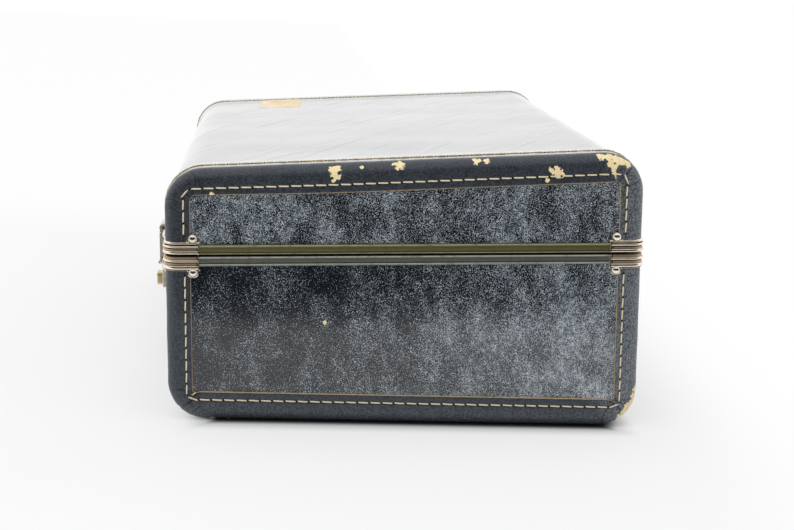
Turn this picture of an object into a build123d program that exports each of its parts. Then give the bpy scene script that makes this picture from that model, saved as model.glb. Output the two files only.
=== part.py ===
# A hard weekend case lying flat: a plywood box under cloth and leathercloth, with
# stitched leather bands at its ends, metal rails at the seam, ribbed corner clips,
# two latches, a carrying handle in front, and two hinges and four feet behind.
#
# The pieces are drawn in the case's own frame: X runs along the case, the front
# faces -Y and the rails meet at Z = 0. The case is deeper at its hinges than in
# front, so at the end every piece is turned and lifted together until the bottom
# lies flat on the ground, with the origin under the middle of its footprint.

from build123d import *

import os
from math import atan, cos, degrees, sqrt

os.makedirs("parts", exist_ok=True)

# Outside of the case, over the leather
case_length = 533.0
case_width = 343.0
base_depth_front = 120.5
base_depth_back = 131.5
lid_depth_front = 60.5
lid_depth_back = 73.0
long_edge_radius = 28.0
end_edge_radius = 9.0
least_radius = 0.5

# Layers of the walls, from the outside in
leather = 1.4
cloth = 1.0
plywood = 5.0
lining = 1.0

# Leather bands round both ends: their width on the end face, and over the covering
band_width = 18.0
band_reach = 25.0
band_opening_radius = 5.0
mitre_gap = 0.2
mitre_reach = 40.0

# Rails at the seam
seam_gap = 1.4
rail_height = 7.0
rail_flange = 0.8
tongue_thickness = 0.8
tongue_rise = 4.0
tongue_drop = 8.0
tongue_clearance = 0.4

# Corner clips and their nails
clip_leg = 26.5
clip_height = 10.2
clip_thickness = 0.8
rib_count = 3
rib_radius = 1.2
rib_end_margin = 1.6
ear_radius = 4.2
ear_from_corner = 19.6
ear_overhang = 1.3
nail_head_radius = 3.25
nail_head_height = 2.0
nail_shank_radius = 1.1
nail_length = 7.0

# Rivets that hold the latches, hinges and handle
rivet_head_radius = 2.2
rivet_head_height = 1.0
rivet_shank_radius = 1.0
rivet_length = 6.0

# Latches
latch_from_end = 54.0
latch_plate_half = 19.0
latch_plate_thickness = 1.0
latch_rivet_x = 16.0
lid_plate_low = 8.2
lid_plate_high = 17.6
hasp_axis_out = 3.6
hasp_axis_up = 13.0
hasp_knuckle_radius = 2.8
hasp_knuckle_half = 8.8
plate_knuckle_half = 13.0
knuckle_gap = 0.25
hasp_pin_radius = 1.2
pin_clearance = 0.05
hasp_thickness = 1.2
hasp_half = 12.0
hasp_low = -13.9
hasp_flange_depth = 3.2
hasp_lip_rise = 1.3
hasp_lip_height = 3.2
hasp_lip_half = 10.0
hasp_corner_radius = 1.5
hasp_flange_margin = 1.5
case_top = -9.0
case_bottom = -31.0
case_half = 13.5
case_wall = 1.0
case_out = 4.8
case_edge_radius = 0.8
case_plate_margin = 0.8
bolt_axis_up = -11.2
bolt_radius = 1.1
bolt_clearance = 0.2
bolt_nose = 3.0
bolt_travel = 5.0
web_start = 2.0
web_thickness = 2.0
staple_half = 1.0
staple_low = -13.6
staple_high = -8.8
staple_depth = 5.0
staple_corner_radius = 0.8
slot_clearance = 0.6
stem_up = -25.5
stem_height = 2.4
stem_width = 4.0
button_low = -30.0
button_high = -21.0
button_half = 6.0
button_out = 9.2
button_gap = 0.3
button_corner_radius = 1.6
button_edge_radius = 1.2
button_groove_pitch = 2.0
button_groove_radius = 0.5
button_groove_margin = 1.5
spring_radius = 1.2
spring_wire = 0.2
spring_turns = 5

# Handle
handle_span = 144.0
handle_out = 8.0
pivot_up = -16.0
handle_bracket_half = 13.0
handle_bracket_height = 15.0
handle_bracket_thickness = 1.2
bracket_rivet_x = 10.0
lug_radius = 4.0
lug_half = 3.0
link_wire_radius = 2.0
link_half = 9.0
link_drop = 12.0
link_bend = 4.5
pivot_clearance = 0.05
cap_half_x = 6.4
cap_half_y = 6.0
cap_above_bar = 4.0
cap_below_bar = 7.0
cap_corner_radius = 3.0
grip_end_half_x = 5.8
grip_end_half_y = 5.4
grip_half_height = 9.5
grip_half_thickness = 6.8
grip_drop = 18.0
grip_bow = 5.0
grip_corner_radius = 16.0
grip_bow_radius = 220.0

# Hinges
hinge_from_middle = 150.0
hinge_half = 20.0
hinge_axis_out = 3.8
hinge_knuckle_radius = 3.0
hinge_pin_radius = 1.4
hinge_leaf_thickness = 1.2
hinge_leaf_reach = 27.0
hinge_leaf_gap = 0.6
hinge_joggle = 2.0
hinge_rivet_up = 19.0
hinge_rivet_x = 13.0

# Feet on the hinge side
foot_from_end = 50.0
foot_radius = 7.5
foot_height = 9.0
foot_shank_length = 5.5
base_foot_up = -95.0
lid_foot_up = 37.0

# Packing straps and lid pocket
strap_from_middle = 110.0
strap_width = 22.0
strap_thickness = 1.6
strap_top = -55.0
soft_gap = 0.3
buckle_length = 30.0
buckle_width = 32.0
buckle_bar = 3.0
buckle_thickness = 2.0
buckle_along = 36.0
pocket_from_end = 44.5
pocket_from_hinges = 29.5
pocket_reach = 204.0
pocket_thickness = 4.0
elastic_radius = 4.0
elastic_end_radius = 2.0

# Places worked out from the sizes above
BASE = -1
LID = 1
FRONT = -1
BACK = 1
depths = {BASE: (base_depth_front, base_depth_back), LID: (lid_depth_front, lid_depth_back)}
board_outside = leather + cloth
board_inside = board_outside + plywood
lining_inside = board_inside + lining
tongue_outside = lining_inside + tongue_clearance
tongue_inside = tongue_outside + tongue_thickness
rail_start = seam_gap / 2
wall_start = rail_start + rail_flange
band_start = rail_start + rail_height
over_seam = 30.0
latch_x = case_length / 2 - latch_from_end
plate_left = latch_x - latch_plate_half
plate_right = latch_x + latch_plate_half
cover_out = -leather
plate_out = cover_out + latch_plate_thickness
hinge_clear = hinge_knuckle_radius + knuckle_gap
pocket_half = case_length / 2 - pocket_from_end
pocket_back = case_width / 2 - pocket_from_hinges
pocket_front = pocket_back - pocket_reach


def block(low, high, mode=Mode.ADD):
    """An upright block between two opposite corners."""
    middle = tuple((a + b) / 2 for a, b in zip(low, high))
    size = tuple(b - a for a, b in zip(low, high))
    with Locations(middle):
        Box(*size, mode=mode)


def front_block(along, out, up, mode=Mode.ADD):
    """A block on the front, by its reach along the case, out from the rails and up."""
    wall = -case_width / 2
    block((along[0], wall - out[1], up[0]), (along[1], wall - out[0], up[1]), mode)


def section(side, inset, corner_radius):
    """The outline of the base or lid seen from the end, set in from the leather."""
    front, back = depths[side]
    slope = (back - front) / case_width
    half = case_width / 2 - inset
    middle = (front + back) / 2 - inset * sqrt(1 + slope**2)
    with BuildSketch(Plane.YZ) as outline:
        with BuildLine():
            Polyline(
                (-half, -side * over_seam),
                (half, -side * over_seam),
                (half, side * (middle + slope * half)),
                (-half, side * (middle - slope * half)),
                close=True,
            )
        make_face()
        corners = outline.vertices().sort_by(Axis.Y, reverse=side > 0)[:2]
        fillet(corners, corner_radius)
    return outline.sketch


def half_block(side, inset):
    """The base or lid as a solid block, set in from the leather and run past the seam."""
    with BuildPart() as solid_half:
        extrude(
            section(side, inset, max(long_edge_radius - inset, least_radius)),
            amount=case_length / 2 - inset,
            both=True,
        )
        if end_edge_radius - inset > least_radius:
            ends = solid_half.faces().filter_by(Axis.X)
            fillet(ends.edges(), end_edge_radius - inset)
    return solid_half.part


def layer(side, outside, inside, start):
    """The wall between two insets, kept from a height of start away from the seam."""
    with BuildPart() as wall:
        add(half_block(side, outside))
        add(half_block(side, inside), mode=Mode.SUBTRACT)
        split(bisect_by=Plane.XY.offset(side * start), keep=above(side))
    return wall.part


def above(sign):
    """Which side of a plane to keep: the upper one for +1, the lower one for -1."""
    return Keep.TOP if sign > 0 else Keep.BOTTOM


def mitre(side, face):
    """The plane through a long edge's bend, looking from the flat to the upright wall."""
    front, back = depths[side]
    slope = (back - front) / case_width
    y = face * (case_width / 2 - long_edge_radius)
    z = side * ((front + back) / 2 + slope * y - long_edge_radius * sqrt(1 + slope**2))
    return Plane(origin=(0, y, z), x_dir=(1, 0, 0), z_dir=(0, face, -side))


def rim(inset, mode=Mode.ADD):
    """The case's outline seen from above, set in from the leather."""
    radius = max(end_edge_radius - inset, least_radius)
    RectangleRounded(case_length - 2 * inset, case_width - 2 * inset, radius, mode=mode)


def front_plane(x, out):
    """A plane on the front, facing out, with its own X along the case and Y up."""
    return Plane(origin=(x, -case_width / 2 - out, 0), x_dir=(1, 0, 0), z_dir=(0, -1, 0))


def front_profile(x):
    """A plane across the front wall, with its own X pointing out and Y up."""
    return Plane(origin=(x, -case_width / 2, 0), x_dir=(0, -1, 0), z_dir=(-1, 0, 0))


def back_profile(x):
    """A plane across the back wall, with its own X pointing out and Y up."""
    return Plane(origin=(x, case_width / 2, 0), x_dir=(0, 1, 0), z_dir=(1, 0, 0))


def back_plane(x, out):
    """A plane on the back, facing out, with its own Y up."""
    return Plane(origin=(x, case_width / 2 + out, 0), x_dir=(-1, 0, 0), z_dir=(0, 1, 0))


def stud(head_radius, head_height, shank_radius, length):
    """A nail or rivet standing on its head's seat: a domed head over a round shank."""
    dome_radius = (head_radius**2 + head_height**2) / (2 * head_height)
    with BuildPart() as fastener:
        with Locations((0, 0, head_height - dome_radius)):
            Sphere(dome_radius)
        split(bisect_by=Plane.XY, keep=Keep.TOP)
        with Locations((0, 0, -length / 2)):
            Cylinder(shank_radius, length)
    return fastener.part


nail = stud(nail_head_radius, nail_head_height, nail_shank_radius, nail_length)
rivet = stud(rivet_head_radius, rivet_head_height, rivet_shank_radius, rivet_length)

finished = {}


def keep_piece(name, builder):
    """Labels a finished piece and keeps it for the export."""
    builder.part.label = name
    finished[name] = builder.part


# Corner clips: a bent plate with ribs, and an ear on each leg for a nail


def nail_seats(side):
    """Where the nails of one clip sit: on the end face and on the front face."""
    up = side * (rail_start + clip_height + ear_overhang)
    from_end = case_length / 2 + clip_thickness
    from_front = -case_width / 2 - clip_thickness
    on_end = Plane(
        origin=(from_end, -case_width / 2 + ear_from_corner, up),
        x_dir=(0, 1, 0),
        z_dir=(1, 0, 0),
    )
    on_front = Plane(
        origin=(case_length / 2 - ear_from_corner, from_front, up),
        x_dir=(1, 0, 0),
        z_dir=(0, -1, 0),
    )
    return on_end, on_front


def corner_nails(side):
    """Eight round-headed nails, two at each corner."""
    with BuildPart() as nails:
        with Locations(*nail_seats(side)):
            add(nail)
        mirror(about=Plane.XZ)
        mirror(about=Plane.YZ)
    return nails


def corner_clips(side):
    """Four clips that close the corners of one rail."""
    end_x = case_length / 2
    front_y = -case_width / 2
    rib_pitch = clip_height / rib_count
    rib_out = rib_radius
    with BuildPart() as clips:
        with BuildSketch(Plane.XY.offset(side * rail_start)):
            rim(-clip_thickness)
            rim(0, Mode.SUBTRACT)
        extrude(amount=side * clip_height)
        block(
            (end_x - clip_leg, front_y - clip_leg, -over_seam),
            (end_x + clip_leg, front_y + clip_leg, over_seam),
            Mode.INTERSECT,
        )
        for rib in range(rib_count):
            up = side * (rail_start + (rib + 0.5) * rib_pitch)
            with BuildLine() as bend:
                FilletPolyline(
                    (end_x + rib_out, front_y + clip_leg - rib_end_margin, up),
                    (end_x + rib_out, front_y - rib_out, up),
                    (end_x - clip_leg + rib_end_margin, front_y - rib_out, up),
                    radius=end_edge_radius + rib_out,
                )
            with BuildSketch(Plane(origin=bend.line @ 0, z_dir=bend.line % 0)):
                Circle(rib_radius)
            sweep(path=bend.line)
        for seat in nail_seats(side):
            with BuildSketch(seat):
                Circle(ear_radius)
            extrude(amount=-clip_thickness)
        mirror(about=Plane.XZ)
        mirror(about=Plane.YZ)
        add(corner_nails(side).part, mode=Mode.SUBTRACT)
    return clips


side_names = {BASE: "base", LID: "lid"}
clip_nails = {}
for side, half_name in side_names.items():
    clip_nails[side] = corner_nails(side)
    keep_piece(f"{half_name}_clip_nails", clip_nails[side])
    keep_piece(f"{half_name}_corner_clips", corner_clips(side))

# Rivets of the latches, hinges and handle

with BuildPart() as base_rivets:
    for x in (-latch_x, latch_x):
        with Locations(front_plane(x, plate_out)):
            with Locations((-latch_rivet_x, stem_up), (latch_rivet_x, stem_up)):
                add(rivet)
    for x in (-handle_span / 2, handle_span / 2):
        with Locations(front_plane(x, cover_out + handle_bracket_thickness)):
            with Locations((-bracket_rivet_x, pivot_up), (bracket_rivet_x, pivot_up)):
                add(rivet)
    for x in (-hinge_from_middle, hinge_from_middle):
        with Locations(back_plane(x, cover_out + hinge_leaf_thickness)):
            with Locations((-hinge_rivet_x, -hinge_rivet_up), (hinge_rivet_x, -hinge_rivet_up)):
                add(rivet)
keep_piece("base_rivets", base_rivets)

with BuildPart() as lid_rivets:
    for x in (-latch_x, latch_x):
        with Locations(front_plane(x, plate_out)):
            with Locations((-latch_rivet_x, hasp_axis_up), (latch_rivet_x, hasp_axis_up)):
                add(rivet)
    for x in (-hinge_from_middle, hinge_from_middle):
        with Locations(back_plane(x, cover_out + hinge_leaf_thickness)):
            with Locations((-hinge_rivet_x, hinge_rivet_up), (hinge_rivet_x, hinge_rivet_up)):
                add(rivet)
keep_piece("lid_rivets", lid_rivets)

# Feet: domed studs on the hinge side


def feet(up):
    """Two domed feet at one height, each with a shank in the board."""
    foot = stud(foot_radius, foot_height, nail_shank_radius, foot_shank_length)
    with BuildPart() as pair:
        for x in (-case_length / 2 + foot_from_end, case_length / 2 - foot_from_end):
            with Locations(back_plane(x, cover_out)):
                with Locations((0, up)):
                    add(foot)
    return pair


base_feet = feet(base_foot_up)
lid_feet = feet(lid_foot_up)
keep_piece("base_feet", base_feet)
keep_piece("lid_feet", lid_feet)

studs = {
    BASE: [clip_nails[BASE].part, base_rivets.part, base_feet.part],
    LID: [clip_nails[LID].part, lid_rivets.part, lid_feet.part],
}


def drill(side):
    """Takes the nails and rivets of the base or lid out of the piece being made."""
    for group in studs[side]:
        add(group, mode=Mode.SUBTRACT)


# Boards, coverings, bands and linings of the base and the lid

flat_names = {BASE: "bottom", LID: "top"}
face_names = {FRONT: "front", BACK: "back"}
end_names = {1: "right", -1: "left"}
board_end = case_length / 2 - board_inside

for side, half_name in side_names.items():
    plywood_shell = layer(side, board_outside, board_inside, wall_start)
    cloth_shell = layer(side, leather, board_outside, wall_start)
    leather_shell = layer(side, 0, leather, band_start)

    with BuildPart() as flat_board:
        add(plywood_shell)
        for end in end_names:
            split(bisect_by=Plane.YZ.offset(end * board_end), keep=above(-end))
        for face in face_names:
            split(bisect_by=mitre(side, face), keep=Keep.BOTTOM)
    keep_piece(f"{half_name}_{flat_names[side]}_board", flat_board)

    for face, face_name in face_names.items():
        with BuildPart() as wall_board:
            add(plywood_shell)
            for end in end_names:
                split(bisect_by=Plane.YZ.offset(end * board_end), keep=above(-end))
            split(bisect_by=mitre(side, face), keep=Keep.TOP)
            drill(side)
        keep_piece(f"{half_name}_{face_name}_board", wall_board)

    for end, end_name in end_names.items():
        with BuildPart() as end_board:
            add(plywood_shell)
            split(bisect_by=Plane.YZ.offset(end * board_end), keep=above(end))
            drill(side)
        keep_piece(f"{half_name}_{end_name}_board", end_board)

        with BuildPart() as end_panel:
            add(cloth_shell)
            edge = end * (case_length / 2 - end_edge_radius)
            split(bisect_by=Plane.YZ.offset(edge), keep=above(end))
            drill(side)
        keep_piece(f"{half_name}_{end_name}_panel", end_panel)

        with BuildPart() as band:
            add(leather_shell)
            edge = end * (case_length / 2 - band_reach)
            split(bisect_by=Plane.YZ.offset(edge), keep=above(end))
            extrude(
                section(side, band_width, band_opening_radius),
                amount=case_length,
                both=True,
                mode=Mode.SUBTRACT,
            )
            for face in face_names:
                with BuildSketch(mitre(side, face)):
                    Rectangle(2 * case_length, mitre_reach)
                extrude(amount=mitre_gap / 2, both=True, mode=Mode.SUBTRACT)
            drill(side)
        keep_piece(f"{half_name}_{end_name}_band", band)

    with BuildPart() as wrap:
        add(cloth_shell)
        for end in end_names:
            edge = end * (case_length / 2 - end_edge_radius)
            split(bisect_by=Plane.YZ.offset(edge), keep=above(-end))
        drill(side)
    keep_piece(f"{half_name}_wrap", wrap)

    with BuildPart() as inner_lining:
        add(layer(side, board_inside, lining_inside, wall_start))
    keep_piece(f"{half_name}_lining", inner_lining)

# Rails: an outer strip over the cloth's edge, a flange over the boards and, on the
# base, a tongue that stands up inside the lid. Each rail is four mitred lengths.


def mitre_rail():
    """Cuts the ring being made into four lengths at its corners."""
    x = case_length / 2 - end_edge_radius
    y = case_width / 2 - end_edge_radius
    for end in end_names:
        for face in face_names:
            with Locations(Location((end * x, face * y, 0), (0, 0, 45 * end * face))):
                Box(mitre_reach, mitre_gap, 2 * over_seam, mode=Mode.SUBTRACT)


with BuildPart() as base_rail:
    with BuildSketch(Plane.XY.offset(-rail_start)):
        rim(0)
        rim(leather, Mode.SUBTRACT)
    extrude(amount=-rail_height)
    with BuildSketch(Plane.XY.offset(-rail_start)):
        rim(0)
        rim(tongue_inside, Mode.SUBTRACT)
    extrude(amount=-rail_flange)
    with BuildSketch(Plane.XY.offset(tongue_rise)):
        rim(tongue_outside)
        rim(tongue_inside, Mode.SUBTRACT)
    extrude(amount=-(tongue_rise + tongue_drop))
    mitre_rail()
keep_piece("base_rail", base_rail)

with BuildPart() as lid_rail:
    with BuildSketch(Plane.XY.offset(rail_start)):
        rim(0)
        rim(leather, Mode.SUBTRACT)
    extrude(amount=rail_height)
    with BuildSketch(Plane.XY.offset(rail_start)):
        rim(0)
        rim(lining_inside, Mode.SUBTRACT)
    extrude(amount=rail_flange)
    mitre_rail()
keep_piece("lid_rail", lid_rail)

# Right-hand latch. The left-hand one is its mirror image.

latch_pieces = {}

with BuildPart() as latch_plate:
    front_block(
        (plate_left, plate_right), (cover_out, plate_out), (lid_plate_low, lid_plate_high)
    )
    for start in (latch_x - plate_knuckle_half, latch_x + hasp_knuckle_half + knuckle_gap):
        length = plate_knuckle_half - hasp_knuckle_half - knuckle_gap
        web_half = hasp_knuckle_radius / 2
        front_block(
            (start, start + length),
            (plate_out, hasp_axis_out),
            (hasp_axis_up - web_half, hasp_axis_up + web_half),
        )
        with BuildSketch(front_profile(start)):
            with Locations((hasp_axis_out, hasp_axis_up)):
                Circle(hasp_knuckle_radius)
        extrude(amount=-length)
    with BuildSketch(front_profile(latch_x)):
        with Locations((hasp_axis_out, hasp_axis_up)):
            Circle(hasp_pin_radius)
    extrude(amount=latch_plate_half, both=True, mode=Mode.SUBTRACT)
    add(lid_rivets.part, mode=Mode.SUBTRACT)
latch_pieces["latch_plate"] = latch_plate

with BuildPart() as latch_pin:
    with BuildSketch(front_profile(latch_x)):
        with Locations((hasp_axis_out, hasp_axis_up)):
            Circle(hasp_pin_radius)
    extrude(amount=plate_knuckle_half, both=True)
latch_pieces["latch_pin"] = latch_pin

with BuildPart() as hasp:
    hasp_out = hasp_axis_out + hasp_knuckle_radius
    hasp_in = hasp_out - hasp_thickness
    neck_low = hasp_axis_up - hasp_knuckle_radius - 2 * knuckle_gap
    with BuildSketch(front_profile(latch_x)):
        with Locations((hasp_axis_out, hasp_axis_up)):
            Circle(hasp_knuckle_radius)
    extrude(amount=hasp_knuckle_half, both=True)
    front_block(
        (latch_x - hasp_knuckle_half, latch_x + hasp_knuckle_half),
        (hasp_in, hasp_out),
        (neck_low, hasp_axis_up),
    )
    with BuildSketch(front_plane(latch_x, hasp_in)):
        with Locations((0, (neck_low + hasp_low) / 2)):
            RectangleRounded(2 * hasp_half, neck_low - hasp_low, hasp_corner_radius)
    extrude(amount=hasp_thickness)
    with BuildSketch(front_profile(latch_x)):
        with BuildLine():
            Polyline(
                (hasp_out, hasp_low + hasp_lip_height),
                (hasp_out + hasp_lip_rise, hasp_low + hasp_lip_height / 3),
                (hasp_out + hasp_lip_rise, hasp_low),
                (hasp_out - hasp_thickness / 2, hasp_low),
                (hasp_out - hasp_thickness / 2, hasp_low + hasp_lip_height),
                close=True,
            )
        make_face()
    extrude(amount=hasp_lip_half, both=True)
    for edge in (latch_x - hasp_half, latch_x + hasp_half - hasp_thickness):
        front_block(
            (edge, edge + hasp_thickness),
            (hasp_in - hasp_flange_depth, hasp_in),
            (case_top + slot_clearance, neck_low - hasp_flange_margin),
        )
    with BuildSketch(front_profile(latch_x)):
        with Locations((hasp_axis_out, hasp_axis_up)):
            Circle(hasp_pin_radius + pin_clearance)
    extrude(amount=latch_plate_half, both=True, mode=Mode.SUBTRACT)
latch_pieces["latch_hasp"] = hasp

with BuildPart() as staple:
    with BuildSketch(front_profile(latch_x)):
        with Locations((hasp_in - staple_depth / 2, (staple_low + staple_high) / 2)):
            RectangleRounded(staple_depth, staple_high - staple_low, staple_corner_radius)
        with Locations((case_out / 2, bolt_axis_up)):
            Circle(bolt_radius + bolt_clearance, mode=Mode.SUBTRACT)
    extrude(amount=staple_half, both=True)
latch_pieces["latch_staple"] = staple

with BuildPart() as latch_case:
    front_block(
        (plate_left, plate_right),
        (cover_out, plate_out),
        (case_bottom - case_plate_margin, case_top + case_plate_margin),
    )
    front_block(
        (latch_x - case_half, latch_x + case_half),
        (plate_out, case_out),
        (case_bottom, case_top),
    )
    outer_edges = latch_case.faces().sort_by(Axis.Y)[0].edges()
    fillet(outer_edges, case_edge_radius)
    front_block(
        (latch_x - case_half + case_wall, latch_x + case_half - case_wall),
        (plate_out, case_out - case_wall),
        (case_bottom + case_wall, case_top - case_wall),
        Mode.SUBTRACT,
    )
    front_block(
        (latch_x - staple_half - slot_clearance, latch_x + staple_half + slot_clearance),
        (plate_out, case_out + case_wall),
        (staple_low - slot_clearance, case_top + case_wall),
        Mode.SUBTRACT,
    )
    front_block(
        (
            latch_x + web_start - slot_clearance / 2,
            latch_x + web_start + stem_width + bolt_travel + slot_clearance / 2,
        ),
        (case_out - 2 * case_wall, case_out + case_wall),
        (
            stem_up - stem_height / 2 - slot_clearance / 2,
            stem_up + stem_height / 2 + slot_clearance / 2,
        ),
        Mode.SUBTRACT,
    )
    add(base_rivets.part, mode=Mode.SUBTRACT)
latch_pieces["latch_case"] = latch_case

with BuildPart() as latch_bolt:
    bolt_room = case_out - case_wall - bolt_clearance
    with BuildSketch(front_profile(latch_x - bolt_nose)):
        with Locations((case_out / 2, bolt_axis_up)):
            Circle(bolt_radius)
    extrude(amount=-(bolt_nose + web_start + web_thickness))
    front_block(
        (latch_x + web_start, latch_x + web_start + web_thickness),
        (plate_out + slot_clearance, bolt_room),
        (stem_up - stem_height / 2, case_top - case_wall - bolt_clearance),
    )
    front_block(
        (latch_x + web_start, latch_x + web_start + stem_width),
        (bolt_room - case_wall, case_out + 2 * button_gap),
        (stem_up - stem_height / 2, stem_up + stem_height / 2),
    )
latch_pieces["latch_bolt"] = latch_bolt

with BuildPart() as latch_button:
    button_middle = latch_x + web_start + stem_width / 2
    front_block(
        (button_middle - button_half, button_middle + button_half),
        (case_out + button_gap, button_out),
        (button_low, button_high),
    )
    fillet(latch_button.edges().filter_by(Axis.Y), button_corner_radius)
    fillet(latch_button.faces().sort_by(Axis.Y)[0].edges(), button_edge_radius)
    for groove in (-1, 0, 1):
        groove_x = button_middle + groove * button_groove_pitch
        with Locations((groove_x, -case_width / 2 - button_out, stem_up)):
            groove_length = button_high - button_low - 2 * button_groove_margin
            Cylinder(button_groove_radius, groove_length, mode=Mode.SUBTRACT)
    add(latch_bolt.part, mode=Mode.SUBTRACT)
latch_pieces["latch_button"] = latch_button

with BuildPart() as latch_spring:
    spring_start = latch_x + web_start + web_thickness + spring_wire
    spring_end = latch_x + case_half - case_wall - spring_wire
    spring_length = spring_end - spring_start
    with BuildLine() as coil:
        Helix(
            spring_length / spring_turns,
            spring_length,
            spring_radius,
            center=(spring_start, -case_width / 2 - spring_radius, stem_up),
            direction=(1, 0, 0),
        )
    with BuildSketch(Plane(origin=coil.line @ 0, z_dir=coil.line % 0)):
        Circle(spring_wire)
    sweep(path=coil.line)
latch_pieces["latch_spring"] = latch_spring

for name, piece in latch_pieces.items():
    keep_piece(f"right_{name}", piece)
    with BuildPart() as twin:
        mirror(piece.part, about=Plane.YZ)
    keep_piece(f"left_{name}", twin)

# Handle: two riveted brackets, a wire link through each, end caps and the grip

with BuildPart() as handle_brackets:
    for x in (-handle_span / 2, handle_span / 2):
        low = pivot_up - handle_bracket_height / 2
        front_block(
            (x - handle_bracket_half, x + handle_bracket_half),
            (cover_out, cover_out + handle_bracket_thickness),
            (low, low + handle_bracket_height),
        )
        front_block(
            (x - lug_half, x + lug_half),
            (cover_out, handle_out),
            (pivot_up - lug_radius, pivot_up + lug_radius),
        )
        with BuildSketch(front_profile(x)):
            with Locations((handle_out, pivot_up)):
                Circle(lug_radius)
        extrude(amount=lug_half, both=True)
        with BuildSketch(front_profile(x)):
            with Locations((handle_out, pivot_up)):
                Circle(link_wire_radius + pivot_clearance)
        extrude(amount=handle_bracket_half, both=True, mode=Mode.SUBTRACT)
    add(base_rivets.part, mode=Mode.SUBTRACT)
keep_piece("handle_brackets", handle_brackets)

with BuildPart() as handle_links:
    for x in (-handle_span / 2, handle_span / 2):
        with BuildSketch(front_plane(x, handle_out), mode=Mode.PRIVATE) as loop:
            with Locations((0, pivot_up - link_drop / 2)):
                RectangleRounded(2 * link_half, link_drop, link_bend)
        wire = loop.sketch.faces()[0].outer_wire()
        with BuildSketch(Plane(origin=wire @ 0, z_dir=wire % 0)):
            Circle(link_wire_radius)
        sweep(path=wire)
keep_piece("handle_links", handle_links)

bar_up = pivot_up - link_drop
grip_start = bar_up - cap_below_bar

with BuildPart() as handle_caps:
    for x in (-handle_span / 2, handle_span / 2):
        front_block(
            (x - cap_half_x, x + cap_half_x),
            (handle_out - cap_half_y, handle_out + cap_half_y),
            (grip_start, bar_up + cap_above_bar),
        )
    fillet(handle_caps.edges().filter_by(Axis.Z), cap_corner_radius)
    add(handle_links.part, mode=Mode.SUBTRACT)
keep_piece("handle_caps", handle_caps)

with BuildPart() as handle_grip:
    half_span = handle_span / 2
    with BuildLine(front_plane(0, handle_out)) as route:
        FilletPolyline(
            (-half_span, grip_start),
            (-half_span, grip_start - grip_drop),
            (0, grip_start - grip_drop - grip_bow),
            (half_span, grip_start - grip_drop),
            (half_span, grip_start),
            radius=[grip_corner_radius, grip_bow_radius, grip_corner_radius],
        )
    for place, tall, thick in (
        (0.0, grip_end_half_x, grip_end_half_y),
        (0.5, grip_half_height, grip_half_thickness),
        (1.0, grip_end_half_x, grip_end_half_y),
    ):
        with BuildSketch(
            Plane(origin=route.line @ place, x_dir=(0, 1, 0), z_dir=route.line % place)
        ):
            Ellipse(thick, tall)
    sweep(path=route.line, multisection=True)
keep_piece("handle_grip", handle_grip)

# Hinges behind: two leaves on one pin each


def hinge_leaves(side):
    """Two leaves of the base or lid, bent over the rail and down onto the covering."""
    over_rail = hinge_axis_out - hinge_knuckle_radius
    on_cover = cover_out
    bend_up = band_start + knuckle_gap
    thick = hinge_leaf_thickness
    with BuildPart() as leaves:
        for x in (-hinge_from_middle, hinge_from_middle):
            with BuildSketch(back_profile(x)):
                with BuildLine():
                    Polyline(
                        (over_rail, side * hinge_leaf_gap),
                        (over_rail, side * bend_up),
                        (on_cover, side * (bend_up + hinge_joggle)),
                        (on_cover, side * hinge_leaf_reach),
                        (on_cover + thick, side * hinge_leaf_reach),
                        (on_cover + thick, side * (bend_up + hinge_joggle + knuckle_gap)),
                        (over_rail + thick, side * (bend_up + knuckle_gap)),
                        (over_rail + thick, side * hinge_leaf_gap),
                        close=True,
                    )
                make_face()
            extrude(amount=hinge_half, both=True)
            third = 2 * hinge_half / 3
            mine = [0] if side == BASE else [-third, third]
            theirs = [-third, third] if side == BASE else [0]
            for along in theirs:
                with BuildSketch(back_profile(x + along)):
                    with Locations((hinge_axis_out, 0)):
                        Circle(hinge_clear)
                extrude(amount=third / 2 + knuckle_gap, both=True, mode=Mode.SUBTRACT)
            for along in mine:
                with BuildSketch(back_profile(x + along)):
                    with Locations((hinge_axis_out, 0)):
                        Circle(hinge_knuckle_radius)
                extrude(amount=third / 2 - knuckle_gap / 2, both=True)
            with BuildSketch(back_profile(x)):
                with Locations((hinge_axis_out, 0)):
                    hole = hinge_pin_radius + (pin_clearance if side == LID else 0)
                    Circle(hole)
            extrude(amount=2 * hinge_half, both=True, mode=Mode.SUBTRACT)
        add(base_rivets.part if side == BASE else lid_rivets.part, mode=Mode.SUBTRACT)
    return leaves


for side, half_name in side_names.items():
    keep_piece(f"{half_name}_hinge_leaves", hinge_leaves(side))

with BuildPart() as hinge_pins:
    for x in (-hinge_from_middle, hinge_from_middle):
        with BuildSketch(back_profile(x)):
            with Locations((hinge_axis_out, 0)):
                Circle(hinge_pin_radius)
        extrude(amount=hinge_half - knuckle_gap, both=True)
keep_piece("hinge_pins", hinge_pins)

# Packing straps on the base's lining, with their buckles

with BuildPart() as packing_straps:
    add(layer(BASE, lining_inside, lining_inside + strap_thickness, -strap_top))
    strap_half = strap_width / 2
    block(
        (strap_from_middle - strap_half, -case_width, -case_width),
        (strap_from_middle + strap_half, case_width, case_width),
        Mode.INTERSECT,
    )
    mirror(about=Plane.YZ)
keep_piece("packing_straps", packing_straps)

floor_slope = (base_depth_back - base_depth_front) / case_width
floor_inset = (lining_inside + strap_thickness) * sqrt(1 + floor_slope**2)
floor_middle = (base_depth_front + base_depth_back) / 2 - floor_inset

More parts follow.
